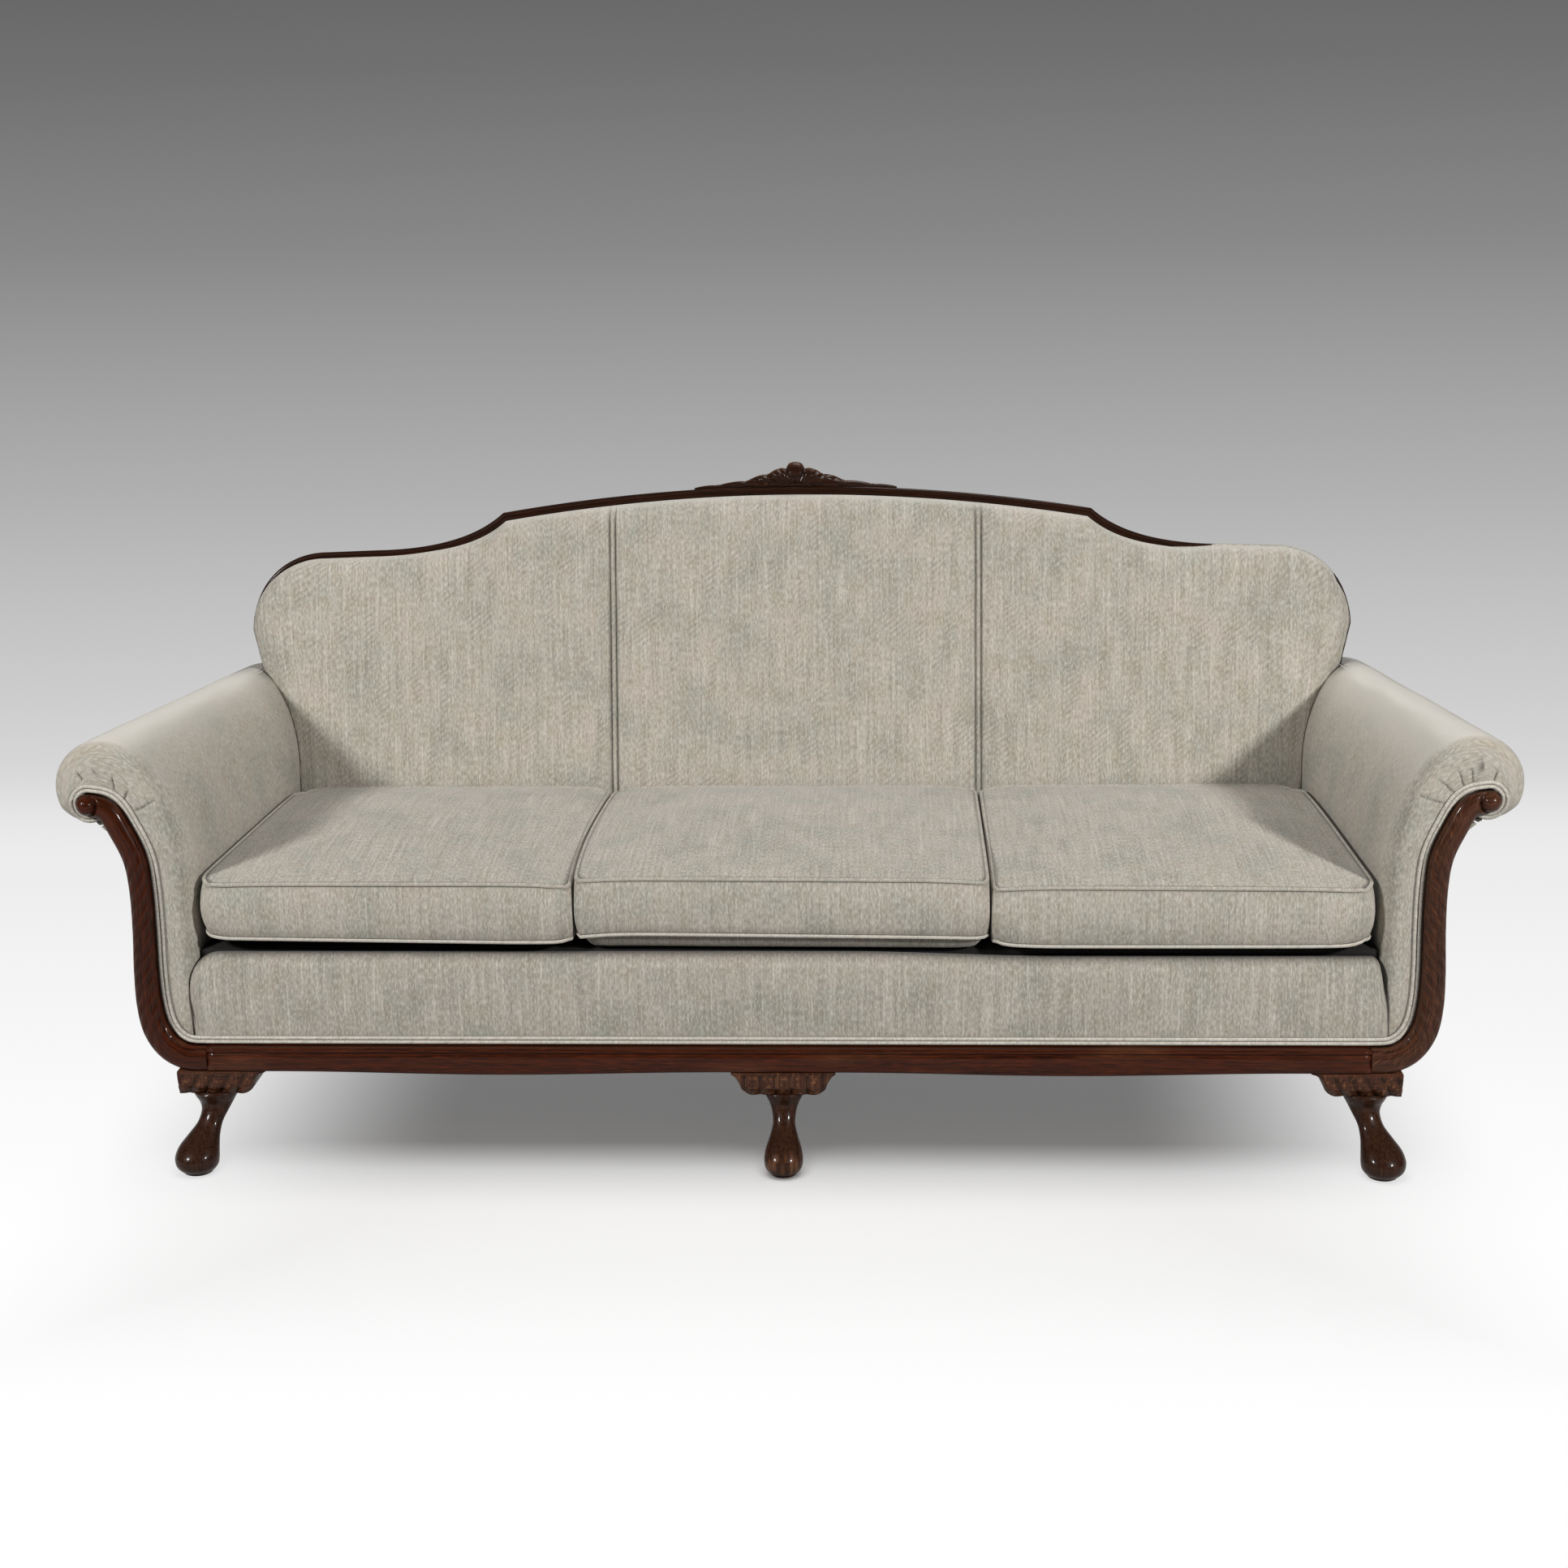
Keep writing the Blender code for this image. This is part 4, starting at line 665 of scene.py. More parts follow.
def insetLine(line, distance):  # the line moved towards the inside of the back, with mitred corners
    moved = []
    for i, (x, s) in enumerate(line):
        normals = []
        for a, b in ((i - 1, i), (i, i + 1)):
            if a >= 0 and b < len(line):
                dx = line[b][0] - line[a][0]
                ds = line[b][1] - line[a][1]
                long = math.hypot(dx, ds)
                normals.append((ds / long, -dx / long))
        (ax, az), (bx, bz) = normals[0], normals[-1]
        share = distance / (1 + ax * bx + az * bz)
        moved.append((x + (ax + bx) * share, s + (az + bz) * share))
    return moved


def swept(line, profile, shares):  # the profile along the line, each ring drawn to the inside by its share
    rails = [insetLine(line, deep) for deep, _ in profile]
    inner = insetLine(line, back["mould"])
    rings = []
    for i, share in enumerate(shares):
        ring = []
        for rail, (_, n) in zip(rails, profile):
            x, s = [mixed(rail[i][c], inner[i][c], share) for c in (0, 1)]
            ring.append(raked(x, s, n))
        rings.append(ring)
    return rings


def slimAt(s):  # the moulding thins down the sides
    share, low, high = back["slim"]
    return share * (1 - eased(upSlope(low), upSlope(high), s))


def covered(x, s):  # on the right shoulder the cover is drawn over the moulding
    return eased(0.570, 0.712, x) * eased(upSlope(0.718), upSlope(0.768), s)


camel = bothSides(camelLine(back["fine"]))
under = insetLine(camel, back["mould"] + sofa["gap"])
foot = (back["half"] - back["sideTaper"] * 1.2, upSlope(back["sideFoot"] - back["mouldBelow"]))
camelLong = [(-foot[0], foot[1])] + camel + [foot]  # down to the roll of each arm
rings = swept(camelLong, back["moulding"], [slimAt(s) for _, s in camelLong])
makePiece("carved_top_moulding", skin(rings), crownMahogany, stands=("top_moulding",))
rings = swept(camel, back["fold"], [mixed(1.0, slimAt(s), covered(x, s)) for x, s in camel])
rings = [ring for ring, (x, s) in zip(rings, camel) if covered(x, s) >= 0.02]
makePiece("cover_over_moulding", skin(rings), upholsteryCloth)
print("moulding done")

# Carved crest: a round knob, scalloped leaves down each side, incised veins. Heights are above the arch
crest = {
    "half": 0.168, "high": 0.0393, "seat": 0.0004, "steps": 224, "rows": 14, "veins": 15, "veinDeep": 0.0032,
    "lobes": ((0.0, 0.0155), (0.031, 0.015), (0.063, 0.019), (0.105, 0.026), (0.148, 0.021)), "fade": 0.28,
    "slope": ((0.0, 0.0325), (0.0105, 0.0320), (0.0165, 0.0262), (0.046, 0.0165), (0.082, 0.0065),
              (0.130, 0.0025), (0.168, 0.0012)),
    "bulge": (0.006, 0.010), "knob": (0.014, 0.012), "knobHigh": 0.026, "knobOut": 0.003,
    "rear": (0.010, 0.018),
}


def crestHeight(x):
    x = abs(x)
    for (x0, h0), (x1, h1) in zip(crest["slope"], crest["slope"][1:]):
        if x <= x1:
            break
    level = mixed(h0, h1, min((x - x0) / (x1 - x0), 1.0))
    scallop = crest["high"] - crest["slope"][0][1]
    for spot, wide in crest["lobes"]:
        if abs(x - spot) < wide:
            level += scallop * math.sqrt(1 - ((x - spot) / wide) ** 2) * (1 - x / crest["fade"])
    return level


def crestSpot(x, base, high, t):  # a point of the carved face at a share t of its height
    rise = high * t
    deep = crest["bulge"][0] + crest["bulge"][1] * min(high / 0.025, 1.0)
    bulge = deep * (1.0 if t < 0.5 else mixed(1.0, 0.35, ((t - 0.5) / 0.5) ** 1.5))
    fan = math.atan2(rise + 0.010, abs(x) + 0.0005)  # veins fan out from the foot of the knob
    cutIn = crest["veinDeep"] * abs(math.sin(fan * crest["veins"])) ** 3 * min(high / 0.012, 1.0)
    knob = max(0.0, 1 - ((x / crest["knob"][0]) ** 2 + ((rise - crest["knobHigh"]) / crest["knob"][1]) ** 2))
    if knob > 0:
        cutIn = -crest["knobOut"] * math.sqrt(knob)
    rub = eased(0.75, 1.0, t) * 0.6 + 0.5 * eased(0.5, 0.8, noise.noise(Vector((x * 90, rise * 160, 2.0))))
    return raked(x, base + rise, -bulge + min(cutIn, bulge * 0.6)) + (rub * 0.7,)


rings = []
for k in range(crest["steps"] + 1):
    x = mixed(-crest["half"], crest["half"], k / crest["steps"])
    base = upSlope(archZ(x)) + crest["seat"]
    high = crestHeight(x)
    ring = [crestSpot(x, base, high, j / crest["rows"]) for j in range(crest["rows"] + 1)]
    near, far = crest["rear"]
    for rise, n in ((high, near), (high * 0.5, far), (0.0, far)):
        ring.append(raked(x, base + rise, n) + (0.0,))
    rings.append(ring)
makePiece("carved_crest", skin(rings), crownMahogany, stands=("crest_carving",))
print("crest done")

# Padded inside back: one pad, drawn in along two double-sewn seams and rolled out under the moulding
pad = {
    "foot": 0.330, "low": 0.062, "top": 0.046, "turn": 0.034, "rim": 0.055, "crown": 0.014, "soft": 0.0022,
    "rows": 40, "seamX": 0.30101, "seamApart": 0.0092, "seamDeep": 0.0042, "seamWide": 0.0017,
    "dip": (0.0030, 0.016), "shade": 0.55, "leanFrom": 0.105, "besideSeam": 0.0205,
    "roll": (0.0068, 0.0055, 0.0135), "rollReach": 0.045,
}
sideS = upSlope(back["sideZ"])
padSides = [p for p in under if p[0] > 0.92 * back["stepX"] and p[1] >= sideS - 0.001]
padEnd = max(x for x, _ in padSides)
rightUnder = [p for p in under if p[0] >= 0]


def padTop(x):
    for (x0, s0), (x1, s1) in zip(rightUnder, rightUnder[1:]):
        if x0 <= abs(x) <= x1:
            return mixed(s0, s1, (abs(x) - x0) / (x1 - x0))
    return rightUnder[0][1]


def padSection(x, top):
    low = upSlope(pad["foot"])
    turn = min(pad["turn"], (top - low) / 3)
    reach = abs(x)
    seamX = pad["seamX"]
    panel = reach / seamX if reach < seamX else (reach - (seamX + padEnd) / 2) / ((padEnd - seamX) / 2)
    crown = pad["crown"] * (1 - min(abs(panel), 1.0) ** 2.5)
    dip = pad["dip"][0] * bell(reach, seamX, pad["dip"][1])
    # painted shade along the double seams, over their grooves
    line = sum(bell(reach - seamX, away * pad["seamApart"], pad["seamWide"]) for away in (-0.5, 0.5))
    dark = pad["shade"] * min(line, 1.0)
    rim = min((padEnd - reach) / pad["rim"], 1.0)
    edge = 0.30 + 0.70 * math.sqrt(max(0.0, 1 - (1 - rim) ** 2))
    section = [(low, -sofa["gap"], 0.0), (low, -(pad["low"] - 0.010) * edge, 0.0)]
    for k in range(1, pad["rows"] + 1):
        v = k / pad["rows"]
        s = mixed(low, top - turn, v)
        thick = mixed(pad["low"], pad["top"], v) + crown * math.sin(math.pi * (0.15 + 0.60 * v)) - dip
        thick += pad["soft"] * noise.noise(Vector((x * 5, s * 4, 3.0))) * rim
        thick -= pad["seamDeep"] * line
        section.append((s, -thick * edge, dark))
    full = -section[-1][1]
    for k in range(1, 11):
        angle = math.pi / 2 * k / 10
        front = mixed(min(back["mouldFront"], full * 0.6), full, math.cos(angle))
        # painted highlight on the roll under the moulding, with the seams' painted shade fading round it
        pale = pad["shade"] * eased(0.4, 0.8, k / 10)
        section.append((top - turn + turn * math.sin(angle), -front, dark * math.cos(angle) - pale))
    section.append((top, -sofa["gap"], 0.0))
    share = math.copysign(back["sideTaper"] * max(0.0, 1 - (padEnd - reach) / pad["leanFrom"]), x)
    spots = []
    for s, n, tone in section:
        lower = (sideS + 0.004 - s) / (sideS - upSlope(back["sideFoot"]))
        lean = share * max(lower, 0.0 if top > sideS + 0.004 else lower)
        spots.append(raked(x - lean, s, n) + (tone,))
    return spots


def rollOver(x, s):  # how far the pad rolls out in front of the moulding
    side, shoulder, fold = pad["roll"]
    low = 1 - eased(upSlope(0.72), upSlope(0.79), s)
    return max(side * low + shoulder * eased(0.50, 0.62, abs(x)) * (1 - low), fold * covered(x, s))


beside = pad["besideSeam"]
places = [(pad["seamX"] - beside - 0.0015) * k / 29 for k in range(30)]
places += [pad["seamX"] + mixed(-beside, beside, k / 28) for k in range(29)]
places += [pad["seamX"] + beside + k * 0.0135 for k in range(1, 9)]
padPlaces = [(x, padTop(x)) for x in places]
for x, s in padSides:
    if x - padPlaces[-1][0] > 0.0015:
        padPlaces.append((x, s))
rim = KDTree(len(under))
for i, (x, s) in enumerate(under):
    rim.insert((x, s, 0.0), i)
rim.balance()
bm = skin([padSection(x, s) for x, s in bothSides(padPlaces)])
for vert in bm.verts:
    dy = vert.co.y - upY
    dz = vert.co.z - sofa["railTop"]
    n = dy * math.cos(rake) - dz * math.sin(rake)
    s = dy * math.sin(rake) + dz * math.cos(rake)
    if n > -0.0135 or s < upSlope(0.60):
        continue
    _, i, far = rim.find((vert.co.x, s, 0.0))
    if far > pad["rollReach"]:
        continue
    a = under[max(i - 1, 0)]
    b = under[min(i + 1, len(under) - 1)]
    long = math.hypot(b[0] - a[0], b[1] - a[1])
    push = rollOver(*under[i]) * (1 - eased(0.006, pad["rollReach"], far)) * eased(-0.0135, -0.022, n)
    vert.co = raked(vert.co.x - (b[1] - a[1]) / long * push, s + (b[0] - a[0]) / long * push, n)
backPad = makePiece("sewn_back_pad", bm, upholsteryCloth, stands=("back_pad",))

# Rolled arms: a stuffed sleeve over the roll, gathered in small pleats round the scroll
arm = {
    "rollFront": (0.970, 0.567), "rollBack": (0.917, 0.545), "radius": 0.070, "tuck": 0.25, "tuckLow": 0.0555,
    "rise": (0.400, 0.460), "foot": 0.160, "eye": (0.9866, 0.5475), "eyeRadius": 0.015, "post": 0.8967,
    "rear": 0.0392, "steps": (14, 140, 110), "edge": (0.014, 0.026), "edgeDeep": (0.020, 0.042),
    "wadding": 0.006,
    "pleatDeep": 0.0022, "pleatWide": 0.0012, "pleatShade": 0.62, "soft": 0.0018,
    "worn": {"left": (0.90, 0.55), "right": (1.0, 0.49)},
    "pleats": {  # from near the eye outwards, measured from it
        "left": ((-0.018, 0.029, -0.0085, 0.052), (-0.050, 0.000, -0.036, 0.022),
                 (-0.0374, 0.0204, -0.0365, 0.042), (-0.0485, 0.005, -0.060, 0.020),
                 (-0.066, -0.010, -0.100, 0.005), (0.0076, 0.034, 0.0135, 0.047)),
        "right": ((0.007, 0.026, 0.009, 0.043), (-0.008, 0.026, -0.013, 0.060),
                  (-0.021, 0.023, -0.027, 0.048), (-0.033, 0.017, -0.045, 0.044),
                  (-0.045, 0.009, -0.072, 0.030), (-0.062, -0.004, -0.104, 0.006)),
    },
    "scroll": (  # outside the seat, height and half width of the facing
        (0.108, 0.540, 0.0150), (0.089, 0.507, 0.0152), (0.073, 0.467, 0.0150), (0.068, 0.420, 0.0145),
        (0.068, 0.360, 0.0148), (0.070, 0.300, 0.0158), (0.069, 0.250, 0.0168), (0.062, 0.211, 0.0176),
        (0.045, 0.183, 0.0181), (0.020, 0.1680, 0.0181), (-0.012, 0.1654, 0.0181)),
}
eyeX, eyeZ = arm["eye"]
scrollKnots = [(eyeX, eyeZ, arm["eyeRadius"])]
scrollKnots += [(sofa["seatFront"] + out, z, half) for out, z, half in arm["scroll"]]
scroll = smoothPath(scrollKnots, 22)


def rollAt(y):  # middle of the roll, top of the upright inside face, and the place of that face
    x, z = [taper(near, far, y) for near, far in zip(arm["rollFront"], arm["rollBack"])]
    return x, z, taper(*arm["rise"], y), seatHalf(y)


def armCurve(x, inner, rise, top, t):  # from the upright inside face over to the top of the roll
    angle = math.pi / 2 * t
    return (x - (x - inner) * math.cos(angle), rise + (top - rise) * math.sin(angle))


def armLoop(y, shrink=0.0):  # from the foot of the inside face over the roll to its tuck, as (x, z)
    x, z, rise, inner = rollAt(y)
    inner += arm["edge"][1] * shrink
    radius = arm["radius"] - arm["edge"][0] * shrink
    straight, curve, roll = arm["steps"]
    loop = [(inner, mixed(arm["foot"], rise, k / straight)) for k in range(straight)]
    loop += [armCurve(x, inner, rise, z + radius, k / curve) for k in range(curve)]
    for k in range(roll + 1):
        angle = math.radians(90 - 165 * k / roll)
        reach = radius * (1 - arm["tuck"] * max(0.0, -math.degrees(angle) - 25) / 50)
        loop.append((x + reach * math.cos(angle), z + reach * math.sin(angle)))
    loop.append((x + 0.008, z - arm["tuckLow"] + arm["edge"][0] * shrink * 0.6))
    return loop


def scrollAt(z):  # place on the middle line of the facing at a height
    for (x0, z0, _), (x1, z1, _) in zip(scroll, scroll[1:]):
        if z1 <= z <= z0:
            return mixed(x0, x1, (z0 - z) / (z0 - z1)), z
    return scroll[-1][:2] if z < scroll[-1][1] else scroll[0][:2]


def pleatAt(x, z, word):  # depth of the gathers above and inside the eye, 0 to 1
    most = 0.0
    for x0, z0, x1, z1 in arm["pleats"][word]:
        dx = x1 - x0
        dz = z1 - z0
        px = x - eyeX - x0
        pz = z - eyeZ - z0
        long = math.hypot(dx, dz)
        t = (px * dx + pz * dz) / long**2
        off = (px * dz - pz * dx) / long + 0.0008 * math.sin(2.2 * math.pi * t)
        along = eased(-0.15, 0.10, t) * (1 - eased(0.60, 1.10, t))
        most = max(most, bell(off, 0.0, arm["pleatWide"]) * along)
    return most


def armPlate(edge, word):  # rings from the middle of the facing out to the rounded front edge of the arm
    targets = []
    straight, curve, _ = arm["steps"]
    for i, (x, z) in enumerate(edge):
        if i < straight:
            targets.append(scrollAt(max(z, 0.190)))
        elif i < straight + curve:
            targets.append(scrollAt(mixed(arm["rise"][0], eyeZ - 0.004, ((i - straight) / curve) ** 0.85)))
        else:
            away = Vector((x - eyeX, z - eyeZ)).normalized() * 0.011
            targets.append((eyeX + away.x, eyeZ + away.y))
    rows = []
    steps = 34
    for k in range(steps):
        t = k / steps
        row = []
        for (x0, z0), (x1, z1) in zip(targets, edge):
            x = mixed(x0, x1, t)
            z = mixed(z0, z1, t)
            crease = pleatAt(x, z, word)
            y = frontY - 0.0022 * math.sin(math.pi * t) ** 0.8 + arm["pleatDeep"] * crease
            row.append((x, y, z, arm["pleatShade"] * crease))
        rows.append(row)
    return rows


def makeArm(side, word):
    straight, curve, _ = arm["steps"]
    first = armLoop(frontY, 1.0)
    rows = armPlate(first, word)
    last = len(first) - 1
    most, crownAt = arm["worn"][word]  # the top of the roll is paler: partly rub wear, partly painted light from above
    worn = [most * bell(i / last, crownAt, 0.16) for i in range(len(first))]
    nearDeep, farDeep = arm["edgeDeep"]
    for k in range(12):  # the front edge, rounded more on the seat side
        angle = math.pi / 2 * k / 11
        deep = 1 - math.cos(angle)
        shrink = 1 - math.sin(angle)
        near = armLoop(frontY + nearDeep * deep, shrink)
        far = armLoop(frontY + farDeep * deep, shrink)
        row = []
        for i, (a, b) in enumerate(zip(near, far)):
            share = 1 - eased(straight + 0.3 * curve, straight + curve, i)
            x = mixed(a[0], b[0], share)
            z = mixed(a[1], b[1], share)
            crease = pleatAt(x, z, word) * shrink
            dark = arm["pleatShade"] * crease - worn[i] * eased(0.2, 1.0, deep)
            y = frontY + mixed(nearDeep, farDeep, share) * deep + arm["pleatDeep"] * crease
            row.append((x, y, z, dark))
        rows.append(row)
    for k in range(1, 40):
        y = mixed(frontY + farDeep, upY - 0.005, k / 40)
        row = []
        for i, (x, z) in enumerate(armLoop(y)):
            share = i / last
            soft = noise.noise(Vector((share * 13, y * 9, 5.0 + side))) * math.sin(math.pi * share)
            # painted shade low on the inside face, less the paler top of the roll
            dark = 0.10 * (1 - eased(0.30, 0.50, share)) - worn[i]
            row.append((x, y, z + arm["soft"] * soft, dark))
        rows.append(row)
    end = []
    for i in range(len(first)):
        y = upY
        for _ in range(4):
            x, z = armLoop(y)[i]
            y = backY(z) + (arm["rear"] / math.cos(rake) if x > arm["post"] - 0.0002 else -sofa["gap"])
        end.append((x, y, z))
    rows.append(end)
    for inset in (0.10, 0.4, 0.7, 1.0):  # a flat cover beside the post closes the roll
        puff = 0.003 * math.sin(math.pi * inset)
        row = []
        for x, y, z in end:
            row.append((mixed(x, arm["post"], inset), y + puff, z) if x > arm["post"] else (x, y, z))
        rows.append(row)
    bm = openSkin([[(side * p[0],) + tuple(p[1:]) for p in row] for row in rows], (side * 0.9, 0.0, 0.45))
    piece = makePiece("stuffed_arm_" + word, bm, armCloth, stands=("arm_pad_" + word,))
    thicken(piece, arm["wadding"])


for side, word in sides:
    makeArm(side, word)
print("arms done")


def tunnelLoop(y):  # where an arm passes through the padding of the back
    x, z, rise, inner = rollAt(y)
    inner -= 0.0009
    top = z + arm["radius"] + 0.0009
    loop = [(inner, 0.05)] + [armCurve(x, inner, rise, top, k / 24) for k in range(25)]
    return loop + [(x + 0.25, top), (x + 0.25, 0.05)]


def leaningLoop(make, n, side):  # a loop whose points all lie at n behind the leaning face of the back
    spots = []
    for i in range(len(make(upY))):
        y = upY
        for _ in range(4):
            x, z = make(y)[i]
            y = backY(z) + n / math.cos(rake)
        spots.append((side * x, y, z))
    return spots


for side, _ in sides:
    start = frontY + 0.68 * sofa["depth"]
    rings = [[(side * x, start, z) for x, z in tunnelLoop(start)]]
    rings += [leaningLoop(tunnelLoop, n, side) for n in (rearFace, rearFace + 0.050)]
    cutter = makeObject("arm_space", skin(rings))
    trim = backPad.modifiers.new("trim", "BOOLEAN")
    trim.operation = "DIFFERENCE"
    trim.solver = "EXACT"
    trim.object = cutter
    trimmed = bpy.data.meshes.new_from_object(backPad.evaluated_get(bpy.context.evaluated_depsgraph_get()))
    backPad.modifiers.clear()
    backPad.data = trimmed
    bpy.data.objects.remove(cutter)
print("back done")

# Front border under the cushions, rounded over its top edge and tucked in at the arms. Its ends drop in a
# quarter ellipse, given as width and height
border = {
    "low": 0.1840, "top": 0.3190, "thick": 0.025, "half": 0.8650, "left": (0.045, 0.048),
    "right": (0.022, 0.030), "steps": 90, "topDrop": 0.007, "hollow": 0.0022, "soft": 0.0018, "face": 0.012,
    "endBack": 0.0026, "sewn": 0.95,
}


def borderRing(share):
    half = border["half"]
    low = border["low"]
    thick = border["thick"]
    turn = thick * 0.8
    reach = abs(share) * half
    wide, drop = border["left" if share < 0 else "right"]
    ended = max(0.0, (reach - half) / wide + 1)
    top = border["top"] - border["topDrop"] * eased(0.10, 0.45, share) - drop * (1 - math.sqrt(1 - ended**2))
    bend = 1 - min(max((reach - sofa["seatFront"] + 0.0006) / arm["edge"][1], 0.0), 1.0)
    rear = thick
    if bend < 1:  # the arm's front edge behind the border
        rear = min(thick, arm["edgeDeep"][1] * (1 - math.sqrt(1 - bend**2)) - 0.0004)
    edge = eased(half - 0.012, half, reach)
    # painted shade on the border's back and over its top, under the cushions
    ring = [(thick, low, 0.0), (thick, top - 0.004, 0.95)]
    for j in range(13):
        angle = math.pi / 2 * (1 + j / 12)
        dark = 0.9 * (1 - j / 12) ** 2
        ring.append((turn + turn * math.cos(angle), top - turn + turn * math.sin(angle), dark))
    ring += [(0.0, mixed(top - turn, low, j / 14), 0.0) for j in range(1, 15)]
    placed = []
    for deep, z, dark in ring:
        pull = 0.005 * (1 - eased(0.215, 0.255, z)) if share < 0 else 0.010 * eased(0.225, 0.290, z)
        x = share * (half - pull * abs(share) ** 36)
        if deep < border["face"]:
            puff = border["soft"] * noise.noise(Vector((x * 6, z * 9, 8.0)))
            puff -= border["hollow"] * math.sin(math.pi * min(max((z - low) / 0.13, 0), 1))
            deep += puff * (1 - edge) + border["endBack"] * edge
        # painted shade in the tuck between the border and the arm, fading towards the foot
        sewn = eased(half - 0.0030, half - 0.0004, reach) * eased(low + 0.012, low + 0.052, z)
        placed.append((x, frontY + min(deep, rear), z, max(dark, border["sewn"] * sewn)))
    return placed


rings = []
for k in range(2 * border["steps"] + 1):
    share = k / border["steps"] - 1
    rings.append(borderRing(math.copysign(1 - (1 - abs(share)) ** 1.9, share)))  # closer spacing at the ends
piece = makePiece("front_border_cover", skin(rings), shadedBorderCloth, stands=("front_border",))
print("border done")

# Double welt: two cords side by side along the foot of the border, up each facing and round each eye
welt = {"cord": 0.0030, "reach": 0.0074, "lift": 0.0033, "low": 0.1835, "innerX": 0.840, "startAngle": -126.0}


def acrossScroll(i):  # direction along the facing, and across it
    a = scroll[max(i - 1, 0)]
    b = scroll[min(i + 1, len(scroll) - 1)]
    long = math.hypot(b[0] - a[0], b[1] - a[1])
    return ((b[0] - a[0]) / long, (b[1] - a[1]) / long), ((b[1] - a[1]) / long, -(b[0] - a[0]) / long)


def weltLine(reach):
    line = []
    nx, nz = acrossScroll(0)[1]
    far = arm["eyeRadius"] + reach
    for k in range(26):
        angle = mixed(math.radians(welt["startAngle"]), math.atan2(nz, nx), k / 25)
        line.append((eyeX + far * math.cos(angle), eyeZ + far * math.sin(angle)))
    for i in range(5, len(scroll), 3):
        x, z, half = scroll[i]
        nx, nz = acrossScroll(i)[1] if i < len(scroll) - 4 else (0.0, 1.0)
        line.append((x + nx * (half + reach), z + nz * (half + reach)))
    for k in range(1, 20):
        line.append((mixed(welt["innerX"], 0.0, k / 20), welt["low"] + reach))
    return line + [(0.0, welt["low"] + reach)] + [(-x, z) for x, z in reversed(line)]


def weltShade(angle, share):
    return 0.85 * eased(0.45, 0.05, math.sin(angle))


cords = []
for shift in (-welt["cord"], welt["cord"]):
    path = [(x, frontY - welt["lift"], z) for x, z in weltLine(welt["reach"] + shift)]
    cords.append(tube(path, welt["cord"], 14, False, weltShade, (0, -1, 0)))
makePiece("double_welt_cords", joined(cords), weltCloth, stands=("front_double_welt",))
print("welt done")

# Carved S-scroll facings: half-round bands with slanting gouges, ending in a turned eye. The left is darker
facing = {
    "front": 0.024, "rim": 0.58, "gouge": 0.0026, "pitch": 0.0225, "slant": 1.15,
    "carved": (0.085, 0.135, 0.38, 0.43), "eyeEnd": (0.0149, 0.0142, 0.0128, 0.0108, 0.0085, 0.0060, 0.0030),
    "ring": (0.0125, 0.020, 0.62), "boss": (0.0140, 0.0135),
    "finish": {"left": carvedMahogany, "right": facingMahogany},
}


def facingSpot(px, pz, u, run, carve):  # how far a point stands out, and its shade
    deep = facing["front"] * mixed(facing["rim"], 1.0, math.sqrt(max(0.0, 1 - (u * 0.97) ** 2)))
    wave = abs(math.sin(math.pi * (run / facing["pitch"] + facing["slant"] * u)))
    gouge = (1 - wave) * carve * (1 - eased(0.86, 1.0, abs(u)))
    deep -= facing["gouge"] * gouge
    rub = 0.30 * eased(0.8, 1.0, abs(u)) * eased(0.1, 0.5, noise.noise(Vector((px * 40, pz * 40, 1.0))))
    fromEye = math.hypot(px - eyeX, pz - eyeZ)
    inner, outer, low = facing["ring"]  # the turned eye: a round boss in a shallow ring
    deep = mixed(deep, facing["front"] * low, 1 - eased(inner, outer, fromEye))
    deep += facing["boss"][1] * math.sqrt(max(0.0, 1 - (fromEye / facing["boss"][0]) ** 2))
    return deep, rub - 0.45 * gouge


def makeFacing(side, word):
    (tx, tz), normal = acrossScroll(0)
    stations = []
    for rear in facing["eyeEnd"]:
        half = math.sqrt(arm["eyeRadius"] ** 2 - rear**2)
        stations.append((eyeX - tx * rear, eyeZ - tz * rear, half, normal))
    for i, (x, z, half) in enumerate(scroll):
        stations.append((x, z, half, (0.0, 1.0) if i == len(scroll) - 1 else acrossScroll(i)[1]))
    starts, full, fades, ends = facing["carved"]
    rearY = frontY - sofa["gap"]
    rings = []
    run = 0.0
    for i, (x, z, half, (ax, az)) in enumerate(stations):
        if i:
            run += math.hypot(x - stations[i - 1][0], z - stations[i - 1][1])
        carve = eased(starts, full, run) * (1 - eased(fades, ends, run))
        carve *= 0.75 + 0.25 * noise.noise(Vector((run * 40, side, 6.0)))
        ring = [(side * (x - ax * half), rearY, z - az * half, 0.0)]
        for j in range(25):
            u = j / 12 - 1
            px = x + ax * half * u
            pz = z + az * half * u
            deep, shade = facingSpot(px, pz, u, run, carve)
            ring.append((side * px, frontY - deep, pz, shade))
        ring.append((side * (x + ax * half), rearY, z + az * half, 0.0))
        rings.append(ring)
    finish = facing["finish"][word]
    makePiece("carved_facing_" + word, skin(rings), finish, stands=("arm_facing_" + word,))


for side, word in sides:
    makeFacing(side, word)
print("facings done")

